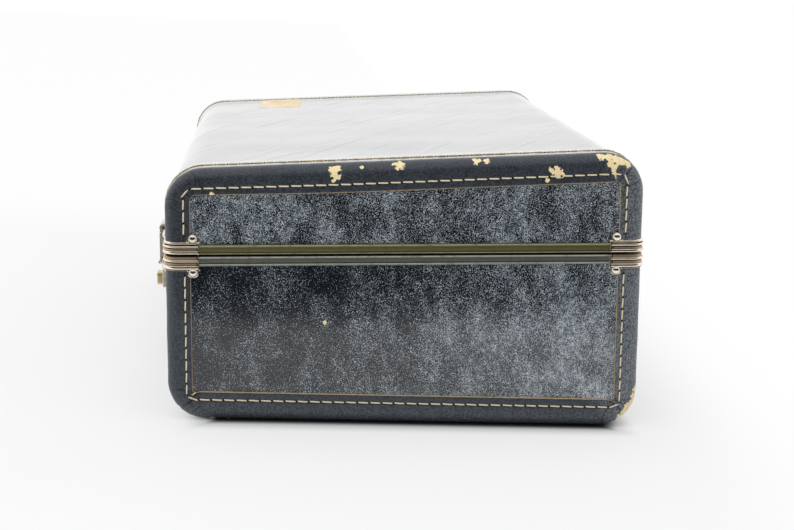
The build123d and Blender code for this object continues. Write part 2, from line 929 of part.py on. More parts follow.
with BuildPart() as strap_buckles:
    for x in (-strap_from_middle, strap_from_middle):
        seat = Plane(
            origin=(x, buckle_along, -(floor_middle + floor_slope * buckle_along)),
            x_dir=(1, 0, 0),
            z_dir=(0, floor_slope, 1),
        )
        with BuildSketch(seat):
            RectangleRounded(buckle_width, buckle_length, buckle_bar)
            opening = (buckle_length - 3 * buckle_bar) / 2
            from_bar = (opening + buckle_bar) / 2
            with Locations((0, -from_bar), (0, from_bar)):
                Rectangle(buckle_width - 2 * buckle_bar, opening, mode=Mode.SUBTRACT)
        extrude(amount=buckle_thickness)
keep_piece("strap_buckles", strap_buckles)

# Gathered pocket under the lid's lining, with its elastic mouth

pocket_outside = lining_inside + soft_gap

with BuildPart() as lid_pocket:
    add(layer(LID, pocket_outside, pocket_outside + pocket_thickness, wall_start))
    block(
        (-pocket_half, pocket_front, 0),
        (pocket_half, pocket_back, case_width),
        Mode.INTERSECT,
    )
keep_piece("lid_pocket", lid_pocket)

lid_slope = (lid_depth_back - lid_depth_front) / case_width
mouth_y = pocket_front - elastic_radius - soft_gap
mouth_up = (
    (lid_depth_front + lid_depth_back) / 2
    + lid_slope * mouth_y
    - (pocket_outside + elastic_radius) * sqrt(1 + lid_slope**2)
)

with BuildPart() as pocket_elastic:
    with BuildSketch(Plane.YZ):
        with Locations((mouth_y, mouth_up)):
            Circle(elastic_radius)
    extrude(amount=pocket_half, both=True)
    fillet(pocket_elastic.edges(), elastic_end_radius)
keep_piece("pocket_elastic", pocket_elastic)

# Every piece is turned until the bottom is level, then set down with the origin
# under the middle of the whole case's footprint.

bottom_slope = (base_depth_back - base_depth_front) / case_width
tilt = atan(bottom_slope)
lift = (base_depth_front + base_depth_back) / 2 * cos(tilt)
turned = [piece.moved(Location((0, 0, lift), (degrees(tilt), 0, 0))) for piece in finished.values()]
footprint = Compound(children=turned).bounding_box()
shift = -(footprint.min.Y + footprint.max.Y) / 2
seat = Location((0, shift, lift), (degrees(tilt), 0, 0))

for name, piece in finished.items():
    placed = piece.moved(seat)
    placed.label = name
    export_step(placed, f"parts/{name}.step")

print(f"{len(finished)} pieces, bottom {degrees(tilt):.3f} degrees off the seam")
print(f"seam frame origin at y {shift:.4f}, z {lift:.4f} mm")
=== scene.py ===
# %% [markdown]
# # A hard weekend case
# The case lies flat: a plywood box under cloth and leathercloth, with leather bands
# stitched round its ends, metal rails at the seam and ribbed clips on the corners.
# The imported model gives the frame. It is loaded once.

from functools import partialmethod, reduce

import bmesh
import bpy
import numpy as np
from mathutils import Matrix, Vector


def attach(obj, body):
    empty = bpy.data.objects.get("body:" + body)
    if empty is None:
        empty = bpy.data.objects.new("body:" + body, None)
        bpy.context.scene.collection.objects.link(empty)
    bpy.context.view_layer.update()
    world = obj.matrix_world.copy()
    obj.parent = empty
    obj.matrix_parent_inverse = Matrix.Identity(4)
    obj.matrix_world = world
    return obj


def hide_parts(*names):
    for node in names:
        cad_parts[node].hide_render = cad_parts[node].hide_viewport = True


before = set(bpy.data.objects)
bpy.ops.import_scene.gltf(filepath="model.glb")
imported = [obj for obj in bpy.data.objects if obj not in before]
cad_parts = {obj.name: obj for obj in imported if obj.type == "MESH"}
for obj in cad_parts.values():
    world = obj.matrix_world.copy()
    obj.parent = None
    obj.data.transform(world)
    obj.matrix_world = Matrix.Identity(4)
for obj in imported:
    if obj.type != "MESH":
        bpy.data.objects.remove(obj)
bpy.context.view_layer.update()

# %% [markdown]
# ## Two frames
# A case is drawn most easily about its own seam: X along it, the front at -Y, the
# rails meeting at Z = 0, and millimetres. The case is deeper at its hinges, so it
# leans on the ground. Every array of points is worked out in the case's frame and is
# turned, lifted and scaled in one step when it becomes a mesh.

# %% The case's own frame
case_length, case_width = 533.0, 343.0
BASE, LID = -1, 1
depths = {BASE: (120.5, 131.5), LID: (60.5, 73.0)}
side_names = {BASE: "base", LID: "lid"}
end_names = {1: "right", -1: "left"}
lean = np.arctan2(depths[BASE][1] - depths[BASE][0], case_width)
shift_back = 1.2912
case_origin = np.array([0.0, shift_back, sum(depths[BASE]) / 2 * np.cos(lean)])
lean_turn = np.array(
    [[1, 0, 0], [0, np.cos(lean), -np.sin(lean)], [0, np.sin(lean), np.cos(lean)]]
)


def seated(points):
    """Case-frame millimetres to metres on the ground: turned by the lean, then lifted."""
    return (points @ lean_turn.T + case_origin) * 0.001


print("seam lies", round(np.degrees(lean), 3), "degrees off the ground")

# %% [markdown]
# ## From arrays to objects
# A surface is a grid of points, one row after another, so its faces are known from
# the grid's size alone. A thin sheet is two such grids closed round their rim. A rod
# or strip is a closed profile carried along a path. Loops over points would be slow
# and long, so every surface is worked out as whole arrays.


# %% Grids, sheets and carried profiles
def grid(rows, columns):
    """Two arrays of one shape: the row's value and the column's value at each place."""
    return np.meshgrid(rows, columns, indexing="ij")


def together(*values):
    """Arrays stretched to one shape and put side by side as a last axis."""
    return np.stack(np.broadcast_arrays(*values), -1)


def grid_faces(rows, columns, close_rows=False, close_columns=False):
    """The quads between neighbours of a grid of points, numbered row by row."""
    row, column = grid(np.arange(rows - (not close_rows)), np.arange(columns - (not close_columns)))
    below, beside = (row + 1) % rows, (column + 1) % columns
    corners = [(row, column), (below, column), (below, beside), (row, beside)]
    return together(*(r * columns + c for r, c in corners)).reshape(-1, 4)


def sheet_between(outer, inner):
    """A closed sheet: two grids of one size, joined round their rim."""
    rows, columns = outer.shape[:2]
    count = rows * columns
    index = np.arange(count).reshape(rows, columns)
    rim = np.concatenate([index[0, :-1], index[:-1, -1], index[-1, :0:-1], index[:0:-1, 0]])
    after = np.roll(rim, -1)
    flat = grid_faces(rows, columns)
    walls = together(rim, rim + count, after + count, after)
    points = np.concatenate([outer.reshape(-1, 3), inner.reshape(-1, 3)])
    return points, np.concatenate([flat, flat[:, ::-1] + count, walls]).tolist()


def carried(rings, closed=False):
    """A closed profile along a path: rings is path by profile by three."""
    rows, columns = rings.shape[:2]
    faces = grid_faces(rows, columns, closed, True).tolist()
    if not closed:
        faces += [list(range(columns))[::-1]]
        faces += [list(range((rows - 1) * columns, rows * columns))]
    return rings.reshape(-1, 3), faces


def gathered(surfaces):
    """Several surfaces as one: points, faces and, where they have one, their place."""
    faces, start = [], 0
    for points, part_faces, *_ in surfaces:
        faces += [[corner + start for corner in face] for face in part_faces]
        start += len(points)
    arrays = zip(*((points, *place) for points, _, *place in surfaces))
    points, *place = (np.concatenate(parts) for parts in arrays)
    return points, faces, *place


# %% [markdown]
# A mesh's normals are made to point out once, and edges sharper than a limit stay
# crisp. Each piece then rides on its body and takes the finish of what it is made of.

# %% One object from a surface
crisp_angle = np.radians(38)


def make_piece(name, body, finish, surface, stands_for=None):
    """A smooth closed mesh on a body. The surface is its points and faces and, if its
    material reads one, the 'place' of each point."""
    points, faces, *places = surface
    mesh = bpy.data.meshes.new(name)
    mesh.from_pydata(seated(points), [], faces)
    for place in places:
        attribute = mesh.attributes.new("place", "FLOAT_VECTOR", "POINT")
        attribute.data.foreach_set("vector", np.asarray(place, np.float32).ravel())
    tidy = bmesh.new()
    tidy.from_mesh(mesh)
    bmesh.ops.recalc_face_normals(tidy, faces=tidy.faces)
    tidy.to_mesh(mesh)
    tidy.free()
    mesh.polygons.foreach_set("use_smooth", np.ones(len(mesh.polygons), bool))
    mesh.set_sharp_from_angle(angle=crisp_angle)
    mesh.materials.append(finish)
    piece = bpy.data.objects.new(name, mesh)
    bpy.context.scene.collection.objects.link(piece)
    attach(piece, body)
    if stands_for:
        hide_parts(stands_for)
    print(name, len(mesh.vertices), "points", len(mesh.polygons), "faces")
    return piece


# %% [markdown]
# ## Values in a shader
# The floor, the room and every finish are drawn by nodes. A node's output is wrapped
# here so that it adds, multiplies and compares like a number, and each sign between
# two values adds one node. That keeps a finish as short as the sum it stands for.

# %% Node outputs that work like numbers
def joined(tree, kind, links=(), output=0, **settings):
    """One output of a new node, its settings made and its inputs joined or given."""
    node = tree.nodes.new("ShaderNode" + kind)
    for key, value in settings.items():
        setattr(node, key, value)
    for socket, value in dict(links).items():
        if isinstance(value, Value):
            value.into(node.inputs[socket])
        else:
            node.inputs[socket].default_value = value
    return Value(tree, node.outputs[output])


class Value:
    """The output of a node in a tree."""

    def __init__(self, tree, socket):
        self.tree, self.socket = tree, socket

    def into(self, socket):
        """Joined to an input of another node."""
        self.tree.links.new(self.socket, socket)

    def step(self, operation, other=0.5):
        """One step of arithmetic, with this value first."""
        return joined(self.tree, "Math", {0: self, 1: other}, operation=operation)

    __add__ = partialmethod(step, "ADD")
    __sub__ = partialmethod(step, "SUBTRACT")
    __mul__ = partialmethod(step, "MULTIPLY")
    __truediv__ = partialmethod(step, "DIVIDE")
    __abs__ = partialmethod(step, "ABSOLUTE")
    larger = partialmethod(step, "MAXIMUM")
    smaller = partialmethod(step, "MINIMUM")
    root = partialmethod(step, "SQRT")
    sine = partialmethod(step, "SINE")

    def __rsub__(self, first):
        return joined(self.tree, "Math", {0: first, 1: self}, operation="SUBTRACT")

    def between(self, low, high, low_result=0.0, high_result=1.0):
        """Taken smoothly from low to high, and limited at both ends."""
        names = ("Value", "From Min", "From Max", "To Min", "To Max")
        links = dict(zip(names, (self, low, high, low_result, high_result)))
        settings = {"interpolation_type": "SMOOTHSTEP"}
        return joined(self.tree, "MapRange", links, "Result", **settings)

    def mix(self, first, second):
        """The first colour where this is 0 and the second where it is 1."""
        links = {0: self, 6: first, 7: second}
        return joined(self.tree, "Mix", links, 2, data_type="RGBA")

    def blend(self, first, second):
        """The first shader where this is 0 and the second where it is 1."""
        return joined(self.tree, "MixShader", {0: self, 1: first, 2: second})

    def parts(self):
        """The three parts of a vector."""
        separate = joined(self.tree, "SeparateXYZ", {0: self}).socket.node
        return [Value(self.tree, part) for part in separate.outputs]


def rgb(red, green, blue):
    """A colour as screens write it, 0 to 255, as light: the sRGB curve undone."""
    value = np.array([red, green, blue]) / 255
    light = np.where(value > 0.04045, ((value + 0.055) / 1.055) ** 2.4, value / 12.92)
    return (*light.tolist(), 1.0)


print("mid grey as light", [round(part, 3) for part in rgb(128, 128, 128)])

# %% [markdown]
# A finish is a Principled shader fed by noise. Its patterns read Object coordinates
# in metres, which are the case's own place in the row, or the 'place' that a piece
# was given, in millimetres.


# %% A finish under the brush
class Finish:
    """A material being made: its shader and the patterns that feed it."""

    def __init__(self, name, **constants):
        self.material = bpy.data.materials.new(name)
        self.material.use_nodes = True
        self.tree = self.material.node_tree
        self.shader = self.tree.nodes["Principled BSDF"]
        for socket, value in constants.items():
            self.shader.inputs[socket.replace("_", " ")].default_value = value
        self.seat = joined(self.tree, "TexCoord", output="Object")

    def place(self):
        """What the piece was given as its place: along, across and a third value."""
        settings = {"attribute_name": "place"}
        return joined(self.tree, "Attribute", output="Vector", **settings).parts()

    def drawn_out(self, lengths, turn=(0, 0, 0)):
        """Coordinates whose patterns are turned, then so many times longer each way."""
        links = {"Vector": self.seat, "Scale": lengths, "Rotation": turn}
        return joined(self.tree, "Mapping", links, vector_type="TEXTURE")

    def noise(self, scale, detail=3.0, rough=0.5, source=None, distortion=0.0):
        """Cloudy noise, from 0 to 1, with so many clouds to the metre."""
        names = ("Vector", "Scale", "Detail", "Roughness", "Distortion")
        links = dict(zip(names, (source or self.seat, scale, detail, rough, distortion)))
        return joined(self.tree, "TexNoise", links, "Fac")

    def cells(self, scale):
        """Distance to the nearest of scattered points."""
        links = {"Vector": self.seat, "Scale": scale}
        return joined(self.tree, "TexVoronoi", links, "Distance")

    def give(self, **results):
        """Joins each result to the shader's input of that name."""
        for socket, value in results.items():
            value.into(self.shader.inputs[socket.replace("_", " ")])

    def raised(self, *heights):
        """Bumps in turn: pairs of a height from 0 to 1 and its depth in metres."""
        below = {}
        for height, depth in heights:
            links = {"Height": height, "Distance": depth, "Strength": 1.0, **below}
            below = {"Normal": joined(self.tree, "Bump", links)}
        self.give(**below)


# %% [markdown]
# ## Camera and light
# The photograph looks along the case from a little above, with a long lens. A least
# squares fit to the seam, the corners and the far edges gave the place and turn.

# %% Camera from the fit
camera_yaw, camera_pitch, camera_roll = np.radians([-4.31, 11.08, 0.47])
camera_place = np.array([1410.0, -93.0, 217.0])
focal_pixels, photo_pixels = 1633, 794
back, right, up = np.eye(3)
turns = ((camera_yaw, back, right), (camera_pitch, back, up), (camera_roll, right, up))
for angle, first, second in turns:
    first[:], second[:] = (
        np.cos(angle) * first + np.sin(angle) * second,
        np.cos(angle) * second - np.sin(angle) * first,
    )
camera = bpy.data.objects.new("camera", bpy.data.cameras.new("camera"))
bpy.context.scene.collection.objects.link(camera)
camera.data.sensor_width = 36.0
camera.data.lens = focal_pixels * 36.0 / photo_pixels
turned = lean_turn @ np.stack([right, up, back], -1)
camera.matrix_world = Matrix.LocRotScale(
    seated(camera_place), Matrix(turned.tolist()).to_quaternion(), None
)
camera.data.clip_start, camera.data.clip_end = 0.05, 50
bpy.context.scene.camera = camera
bpy.context.scene.view_settings.view_transform = "Standard"
print("camera at", [round(v, 3) for v in camera.location])

# %% [markdown]
# The floor is plain and white, like the photographed one. Paint alone would turn grey
# away from the lamps, so rays that only look also see it shine, more so away from the
# case's foot. Gloss sees it end beyond the near end, where that room is unlit.

# %% Floor
floor_half = 6.0
floor_mesh = bpy.data.meshes.new("floor")
corners = floor_half * np.array([[-1, -1, 0], [1, -1, 0], [1, 1, 0], [-1, 1, 0]])
floor_mesh.from_pydata(corners, [], [[0, 1, 2, 3]])
floor = bpy.data.objects.new("floor", floor_mesh)
bpy.context.scene.collection.objects.link(floor)


def ray(tree, kind):
    """1 for rays of one kind."""
    return joined(tree, "LightPath", output=f"Is {kind} Ray")


def sight(tree):
    """1 for the rays that only look: camera, glossy and transmission rays."""
    return ray(tree, "Camera").larger(ray(tree, "Glossy")).larger(ray(tree, "Transmission"))


foot_middle, foot_half_x, foot_half_y = 0.011, 0.2575, 0.134
floor_paint = Finish("pale floor", Roughness=0.65)
floor_mesh.materials.append(floor_paint.material)
floor_x, floor_y, _ = floor_paint.seat.parts()
from_foot = (abs(floor_x) - foot_half_x).larger(abs(floor_y - foot_middle) - foot_half_y)
close_white = from_foot.between(0.013, 0.034, 0.0, 0.58)
far_white = from_foot.between(0.04, 0.6, 0.0, 0.38)
# painted light: the floor is drawn whiter beyond the case's back, as if lit from that side
whiteness = close_white + far_white + floor_y.between(0.17, 0.3, 0.0, 0.34)
# painted shadow: the floor's colour is darkest under the bend of the case's foot, where no light
# gets in
floor_paint.give(Base_Color=from_foot.between(0.007, 0.018, 0.03, 0.86))
looked_at = sight(floor_paint.tree) * whiteness
mirrored_dark = ray(floor_paint.tree, "Glossy") * floor_x.between(0.596, 0.614)
white, dark = (
    joined(floor_paint.tree, "Emission", {"Color": colour, "Strength": strength})
    for colour, strength in (((1, 1, 1, 1), 1.0), ((0.3, 0.31, 0.33, 1), 0.12))
)
painted = Value(floor_paint.tree, floor_paint.shader.outputs[0])
shown = mirrored_dark.blend(looked_at.blend(painted, white), dark)
shown.into(floor_paint.tree.nodes["Material Output"].inputs["Surface"])
print("floor", 2 * floor_half, "m wide")

# %% [markdown]
# The room is a white one with soft light from above: a broad lamp overhead, a weaker
# one towards the near end, and a white surround. Gloss mirrors that surround too, but
# the room beyond the near end is unlit there, as it is in the photograph.


# %% Lamps and surround
def soft_lamp(name, place, size, power):
    """A square lamp that faces the middle of the case and isn't mirrored in it."""
    data = bpy.data.lights.new(name, "AREA")
    data.shape, data.size, data.energy = "SQUARE", size, power
    lamp = bpy.data.objects.new(name, data)
    bpy.context.scene.collection.objects.link(lamp)
    lamp.location = place
    lamp.visible_glossy = False
    aim = Vector((0, 0, 0.1)) - lamp.location
    lamp.rotation_euler = aim.to_track_quat("-Z", "Y").to_euler()


soft_lamp("overhead lamp", (0.2, -0.4, 2.4), 2.2, 26)
soft_lamp("front lamp", (2.2, -1.1, 1.3), 1.4, 9)

surround = bpy.data.worlds.new("white room")
surround.use_nodes = True
bpy.context.scene.world = surround
room = surround.node_tree
room.nodes.clear()
lit, seen, unlit = (
    joined(room, "Background", {"Color": colour, "Strength": strength})
    for colour, strength in (
        ((0.97, 0.98, 1.0, 1), 0.62),
        ((1, 1, 1, 1), 1.0),
        ((0.9, 0.95, 1.0, 1), 0.05),
    )
)
towards_x, _, towards_z = joined(room, "TexCoord", output="Generated").parts()
near_dark = towards_x.between(0.1, 0.6) * towards_z.between(0.45, 0.85, 1.0, 0.0)
mirrored = near_dark * ray(room, "Glossy")
whole = mirrored.blend(sight(room).blend(lit, seen), unlit)
whole.into(room.nodes.new("ShaderNodeOutputWorld").inputs["Surface"])

# %% [markdown]
# ## Finishes
# Cloth on the ends is a coated tweed print: a near-black blue ground under short pale
# hairs that lie three ways and gather into clouds, with a gloss that waves a little.
# Noise that is drawn out and turned gives the hairs, and a far larger one the clouds.

# %% Coated tweed of the end panels
tweed = Finish("coated tweed", IOR=1.65)
left_hairs, right_hairs, upright_hairs = (
    tweed.noise(scale, 0.6, 0.6, tweed.drawn_out((1.0, 1.0, length), (slant, 0, 0)))
    for scale, length, slant in ((1750, 1.8, 0.62), (1750, 1.8, -0.5), (1600, 1.6, 0.08))
)
hairs = left_hairs.larger(right_hairs).larger(upright_hairs)
clouds = tweed.noise(48, 5.0, 0.7, tweed.drawn_out((1.0, 1.0, 1.7), (0.2, 0, 0)))
haze = tweed.noise(300, 4.0, 0.7)
_, tweed_y, tweed_z = tweed.seat.parts()
on_base = tweed_z.between(0.124, 0.134, 1.0, 0.0)
# painted light: on the base panel the cloth is drawn lighter towards the back, and towards the
# bottom as a painted reflection of the floor; on the lid a few more pale hairs show all over
painted_light_towards_back = tweed_y.between(-0.15, 0.16, -0.055, 0.04)
painted_floor_reflection_low = tweed_z.between(0.05, 0.115, 0.03, 0.0)
lid_tone_and_painted_light = on_base * (painted_light_towards_back + painted_floor_reflection_low) + (1.0 - on_base) * 0.03
threshold = clouds.between(0.34, 0.68, 0.69, 0.598) - lid_tone_and_painted_light
ground = clouds.mix(rgb(9, 14, 18), rgb(26, 33, 38))
hair_colour = haze.between(0.35, 0.65).mix(rgb(114, 124, 131), rgb(190, 197, 203))
cloth_colour = (hairs - threshold).between(-0.02, 0.035).mix(ground, hair_colour)
# one small nick shows the cream base cloth
nick_place, nick_radius = (0.2658, -0.0554, 0.0744), 0.0034
nick_links = {0: tweed.seat, 1: nick_place}
from_nick = joined(
    tweed.tree, "VectorMath", nick_links, "Value", operation="DISTANCE"
)
nicked = (from_nick + haze * 0.004).between(nick_radius, nick_radius + 0.0004, 1.0, 0.0)
tweed.give(
    Base_Color=nicked.mix(cloth_colour, rgb(236, 220, 170)),
    Roughness=haze.between(0.3, 0.7, 0.07, 0.13),
)
tweed.raised((tweed.noise(11, 1.0), 0.0007), (hairs, 0.00005))
print("tweed", len(tweed.tree.nodes), "nodes")

# %% [markdown]
# The bands are smooth leather, nearly black blue, with a fine pebble, hair creases
# and scuffs. Their place gives millimetres along and across, so the tan cut edges
# and the chips where the colour is gone stay where they are on the real case.

# %% Stitched leather, cut edges and chips
# Each place is a distance along the rim from its middle, one across the band from the
# start of its bend, and a radius, in millimetres.
lid_chips = [
    *((-50.3, 8.8, 4.0), (-50.0, 12.6, 3.0), (-51.0, 15.8, 1.8), (-31.1, 7.4, 1.5)),
    *((-4.8, 6.7, 4.2), (50.4, 5.7, 3.2), (57.9, 6.2, 2.6), (107.7, 16.5, 3.4)),
    *((97.0, 20.5, 1.6), (103.9, 15.2, 2.2), (141.0, 5.6, 3.4), (145.8, 6.4, 4.6)),
    *((151.0, 7.4, 4.8), (156.5, 7.6, 4.2), (160.6, 6.8, 3.2), (147.8, 11.4, 4.0)),
    *((151.6, 13.0, 3.2), (150.6, 16.9, 2.8), (150.2, 19.0, 2.2), (178.0, -1.5, 1.8)),
    (-133.1, 22.6, 1.6),
]
base_chips = [
    *((183.5, 4.6, 3.4), (178.5, 4.8, 4.4), (173.8, 5.6, 5.0), (169.3, 6.2, 5.0)),
    *((165.2, 5.6, 4.6), (160.8, 4.8, 3.8), (149.5, 3.2, 1.8), (-167.3, 22.6, 2.4)),
    *((-138.8, 3.5, 2.4), (-127.3, 3.5, 2.0)),
]


def band_leather(name, worn=(), gloss_end=(-4.0, 1.0)):
    """Dark blue leather whose colour is gone at cut edges and at the worn places, and
    whose gloss is rubbed off between two places across it."""
    hide = Finish(name, IOR=1.42, Coat_Roughness=0.08, Coat_IOR=1.75)
    along, across, edge = hide.place()
    wobble = hide.noise(260, 3.0, 0.65)
    creases = hide.noise(90, 5.0, 0.7, None, 1.2)
    mottle = hide.noise(1000, 1.0, 0.6)
    shade = creases * 0.5 + mottle.between(0.38, 0.62, 0.0, 0.6)
    colour = shade.mix(rgb(10, 15, 21), rgb(64, 71, 80))
    # the leather is drawn grey behind, and a little underneath: partly real rubbing, partly painted
    # light
    _, seat_y, seat_z = hide.seat.parts()
    wear_and_painted_light = seat_y.between(0.135, 0.172).larger(seat_z.between(0.0, 0.02, 0.35, 0.0))
    wear_and_painted_light = wear_and_painted_light * mottle.between(0.38, 0.62, 0.15, 1.0)
    scuffs = hide.noise(420, 6.0, 0.85, None, 0.6).between(0.66, 0.78)
    # the third value of the place is 1 at a cut edge and negative down in a crease, where painted
    # shade darkens the leather to near black
    bare = (edge + wobble * 0.5).between(0.72, 0.95)
    crease_shade_share = edge.between(-0.8, -0.12, 0.85, 0.0)
    for share, taken in (
        (wear_and_painted_light, rgb(124, 130, 136)),
        (scuffs, rgb(118, 122, 128)),
        (bare, rgb(172, 150, 108)),
        (crease_shade_share, rgb(9, 11, 14)),
    ):
        colour = share.mix(colour, taken)
    glossy = across.between(*gloss_end, 1.0, 0.0)
    calm = 1.0 - glossy * 0.9
    heights = [(hide.cells(1500) * calm, 0.00016), (creases * calm, 0.0004)]
    rough = creases.between(0.3, 0.7, 0.4, 0.55) - glossy * 0.3
    if worn:
        shares = []
        for chip_along, chip_across, radius in worn:
            aside, down = along - chip_along, across - chip_across
            shares.append((aside * aside + down * down).root() / radius)
        nearest = reduce(lambda first, second: first.smaller(second), shares)
        ragged = nearest + wobble.between(0.3, 0.7, -0.45, 0.45)
        gone = ragged.between(0.86, 0.98, 1.0, 0.0)
        tan = hide.noise(300, 4.0).mix(rgb(238, 210, 150), rgb(253, 240, 198))
        colour, rough = gone.mix(colour, tan), rough.larger(gone * 0.85)
        heights.append((1.0 - gone, 0.0004))
    gloss = glossy.between(0.0, 1.0, 0.2, 1.0)
    hide.give(Base_Color=colour, Roughness=rough, Coat_Weight=gloss)
    hide.raised(*heights)
    print(name, len(worn), "chips")
    return hide.material


plain_band = band_leather("band leather", (), (3.0, 9.0))
lid_worn_band = band_leather("worn band leather of the lid", lid_chips)
base_worn_band = band_leather("worn band leather of the base", base_chips)

# %% [markdown]
# The rest of the covering is leathercloth: a glossy coat on cotton, so smooth that it
# mirrors the room at a shallow angle. Wide, shallow dents and finer wrinkles bend the
# reflection, and rubbed places are duller. A scrap of bare paper is still pasted on
# the lid's top, and its place is measured like the chips'.

# %% Glossy leathercloth of the top, bottom, front and back
cover = Finish("glossy leathercloth", IOR=1.7, Coat_Roughness=0.05, Coat_IOR=1.8)
scrap_middle, scrap_half = (-216.0, -88.0), (43.0, 19.0)
soft_clouds = cover.noise(14, 4.0, 0.6)
rubs = cover.noise(120, 6.0, 0.8, None, 0.8).between(0.6, 0.74)
cover_colour = soft_clouds.mix(rgb(26, 31, 39), rgb(46, 53, 64))
cover_colour = (rubs * 0.5).mix(cover_colour, rgb(96, 98, 100))
cover_x, cover_y, on_top = cover.place()
outside_x = abs(cover_x - scrap_middle[0]) - scrap_half[0]
outside_y = abs(cover_y - scrap_middle[1]) - scrap_half[1]
torn = cover.noise(130, 4.0, 0.7) * 16.0
pasted = (outside_x.larger(outside_y) + torn).between(7.6, 8.8, 1.0, 0.0) * on_top
stain = cover.noise(70, 4.0, 0.7).between(0.42, 0.6)
paper = stain.mix(rgb(236, 206, 158), rgb(244, 234, 216))
cover.give(
    Base_Color=pasted.mix(cover_colour, paper),
    Roughness=soft_clouds.between(0.3, 0.7, 0.1, 0.2).larger(pasted * 0.8),
    Coat_Weight=1.0 - pasted,
)
long_folds = cover.noise(52, 2.0, 0.5, cover.drawn_out((7, 1, 1), (0, 0, 2.65)), 0.4)
cover.raised(
    (cover.cells(1300), 0.000015),
    (cover.noise(30, 2.0, 0.5, None, 0.5), 0.0002),
    (long_folds.between(0.52, 0.66), 0.0006),
)
print("leathercloth", len(cover.tree.nodes), "nodes")

# %% [markdown]
# Metals are a metallic shader with a little noise in their roughness: brushed along
# the rails, and clouded by handling on the nickel. Old nickel takes a warm, brownish
# cast in its reflections.


# %% Nickel, brass, alloy and steel
def metal(name, clean, stained, shine, stretch=(1, 1, 1)):
    """A metal between two colours, with streaks drawn out along a direction."""
    plate = Finish(name, Metallic=1.0)
    streaks = plate.noise(900, 4.0, 0.6, plate.drawn_out(stretch))
    stains = plate.noise(160, 5.0, 0.65)
    share = stains.between(0.45, 0.7)
    plate.give(
        Base_Color=share.mix(rgb(*clean), rgb(*stained)),
        Roughness=(streaks + share).between(0.4, 1.6, *shine),
    )
    plate.raised((streaks, 0.00002), (stains, 0.00006))
    return plate.material


brushed = (20, 20, 1)
nickel = metal("nickel plate", (226, 218, 208), (160, 138, 118), (0.1, 0.26))
worn_nickel = metal("worn nickel plate", (238, 230, 214), (204, 192, 168), (0.34, 0.5))
# the lid's rail is coloured olive and the base's rail grey
lid_metal = metal("olive rail", (162, 156, 117), (138, 132, 94), (0.34, 0.46), brushed)
base_metal = metal("dull rail", (165, 166, 156), (137, 137, 128), (0.3, 0.42), brushed)
nail_metal = metal("polished nail", (244, 236, 224), (206, 190, 170), (0.05, 0.14))
brass = metal("lacquered brass", (230, 210, 164), (196, 170, 118), (0.3, 0.45))
steel = metal("plain steel", (176, 176, 176), (128, 126, 124), (0.2, 0.4))

# %% [markdown]
# The clips are nickel that was polished by hand for years. The third value of their
# place is 1 down in a groove, where old polish is left, and 2 close under a ridge
# and near each groove's end, where shade is painted in near black.

# %% Nickel of the clips
clip_metal = Finish("nickel plate with polish in its grooves and painted shade", Metallic=1.0)
clip_stains = clip_metal.noise(300, 5.0, 0.7)
_, _, groove_and_shade = clip_metal.place()
residue = (groove_and_shade + clip_stains * 0.5).between(0.5, 1.1)
bright = clip_stains.between(0.45, 0.7).mix(rgb(250, 240, 224), rgb(228, 211, 188))
dulled = residue.mix(bright, rgb(196, 172, 142))
# painted shade: near black where the place's third value is 2, under the ridges and near the
# grooves' ends
clip_metal.give(
    Base_Color=groove_and_shade.between(1.2, 1.7).mix(dulled, rgb(40, 31, 25)),
    Roughness=residue.between(0.0, 1.0, 0.14, 0.5),
)
clip_metal.raised((clip_stains, 0.00005))
print("clips", len(clip_metal.tree.nodes), "nodes")

# %% [markdown]
# Inside there is raw plywood under a blue-grey satin, cotton webbing, and waxed
# thread. Satin is a fabric with a strong sheen along its fine weave.

# %% Satin, webbing, thread and wood
satin = Finish("lining satin", Sheen_Weight=0.5, Sheen_Roughness=0.35)
warp, weft = (
    satin.noise(2600, 1.0, 0.5, satin.drawn_out(way)) for way in ((16, 1, 1), (1, 16, 1))
)
weave = warp + weft
satin_colour = satin.noise(9, 4.0, 0.6).mix(rgb(126, 136, 150), rgb(158, 166, 178))
satin.give(
    Base_Color=weave.between(0.8, 1.2).mix(satin_colour, rgb(112, 122, 138)),
    Roughness=weave.between(0.6, 1.4, 0.34, 0.5),
)
satin.raised((weave, 0.00005), (satin.noise(70, 2.0), 0.0004))

webbing = Finish("cotton webbing", Roughness=0.8, Sheen_Weight=0.3)
rib_along, rib_across, _ = webbing.place()
knit = (rib_along * 6.0).sine() * (rib_across * 9.0).sine()
webbing.give(Base_Color=knit.between(-0.6, 0.6).mix(rgb(92, 98, 108), rgb(140, 146, 156)))
webbing.raised((knit.between(-1, 1), 0.0002))

thread = Finish("waxed thread", Roughness=0.6)
twist_along, twist_round, _ = thread.place()
lay = (twist_along * 7.0 + twist_round * 2.0).sine()
pale_thread = thread.noise(60, 3.0).mix(rgb(246, 230, 192), rgb(255, 250, 232))
thread.give(Base_Color=lay.between(-0.9, 0.4).mix(rgb(206, 180, 136), pale_thread))
thread.raised((lay.between(-1, 1), 0.00012))

# painted shade: each needle hole is a flat lens coloured near black for the shade inside it
hole_shade = Finish("needle hole shade", Roughness=0.9)
hole_shade.give(Base_Color=hole_shade.noise(900).mix(rgb(10, 9, 9), rgb(26, 22, 20)))

plywood = Finish("raw plywood", Roughness=0.7)
rings = plywood.noise(60, 5.0, 0.6, plywood.drawn_out((8, 1, 1)), 0.8)
plywood.give(Base_Color=rings.mix(rgb(176, 138, 92), rgb(214, 180, 132)))
plywood.raised((rings, 0.0002))
print("finishes", len(bpy.data.materials))

# %% [markdown]
# ## The end outline
# Seen from its end, the base or lid is an upright wall, a bend, a nearly level flat,
# a second bend and the other wall. One function gives a point for any place along
# that outline and any inset from the leather. Bands, stitches, coverings, linings
# and straps are all carried along it.

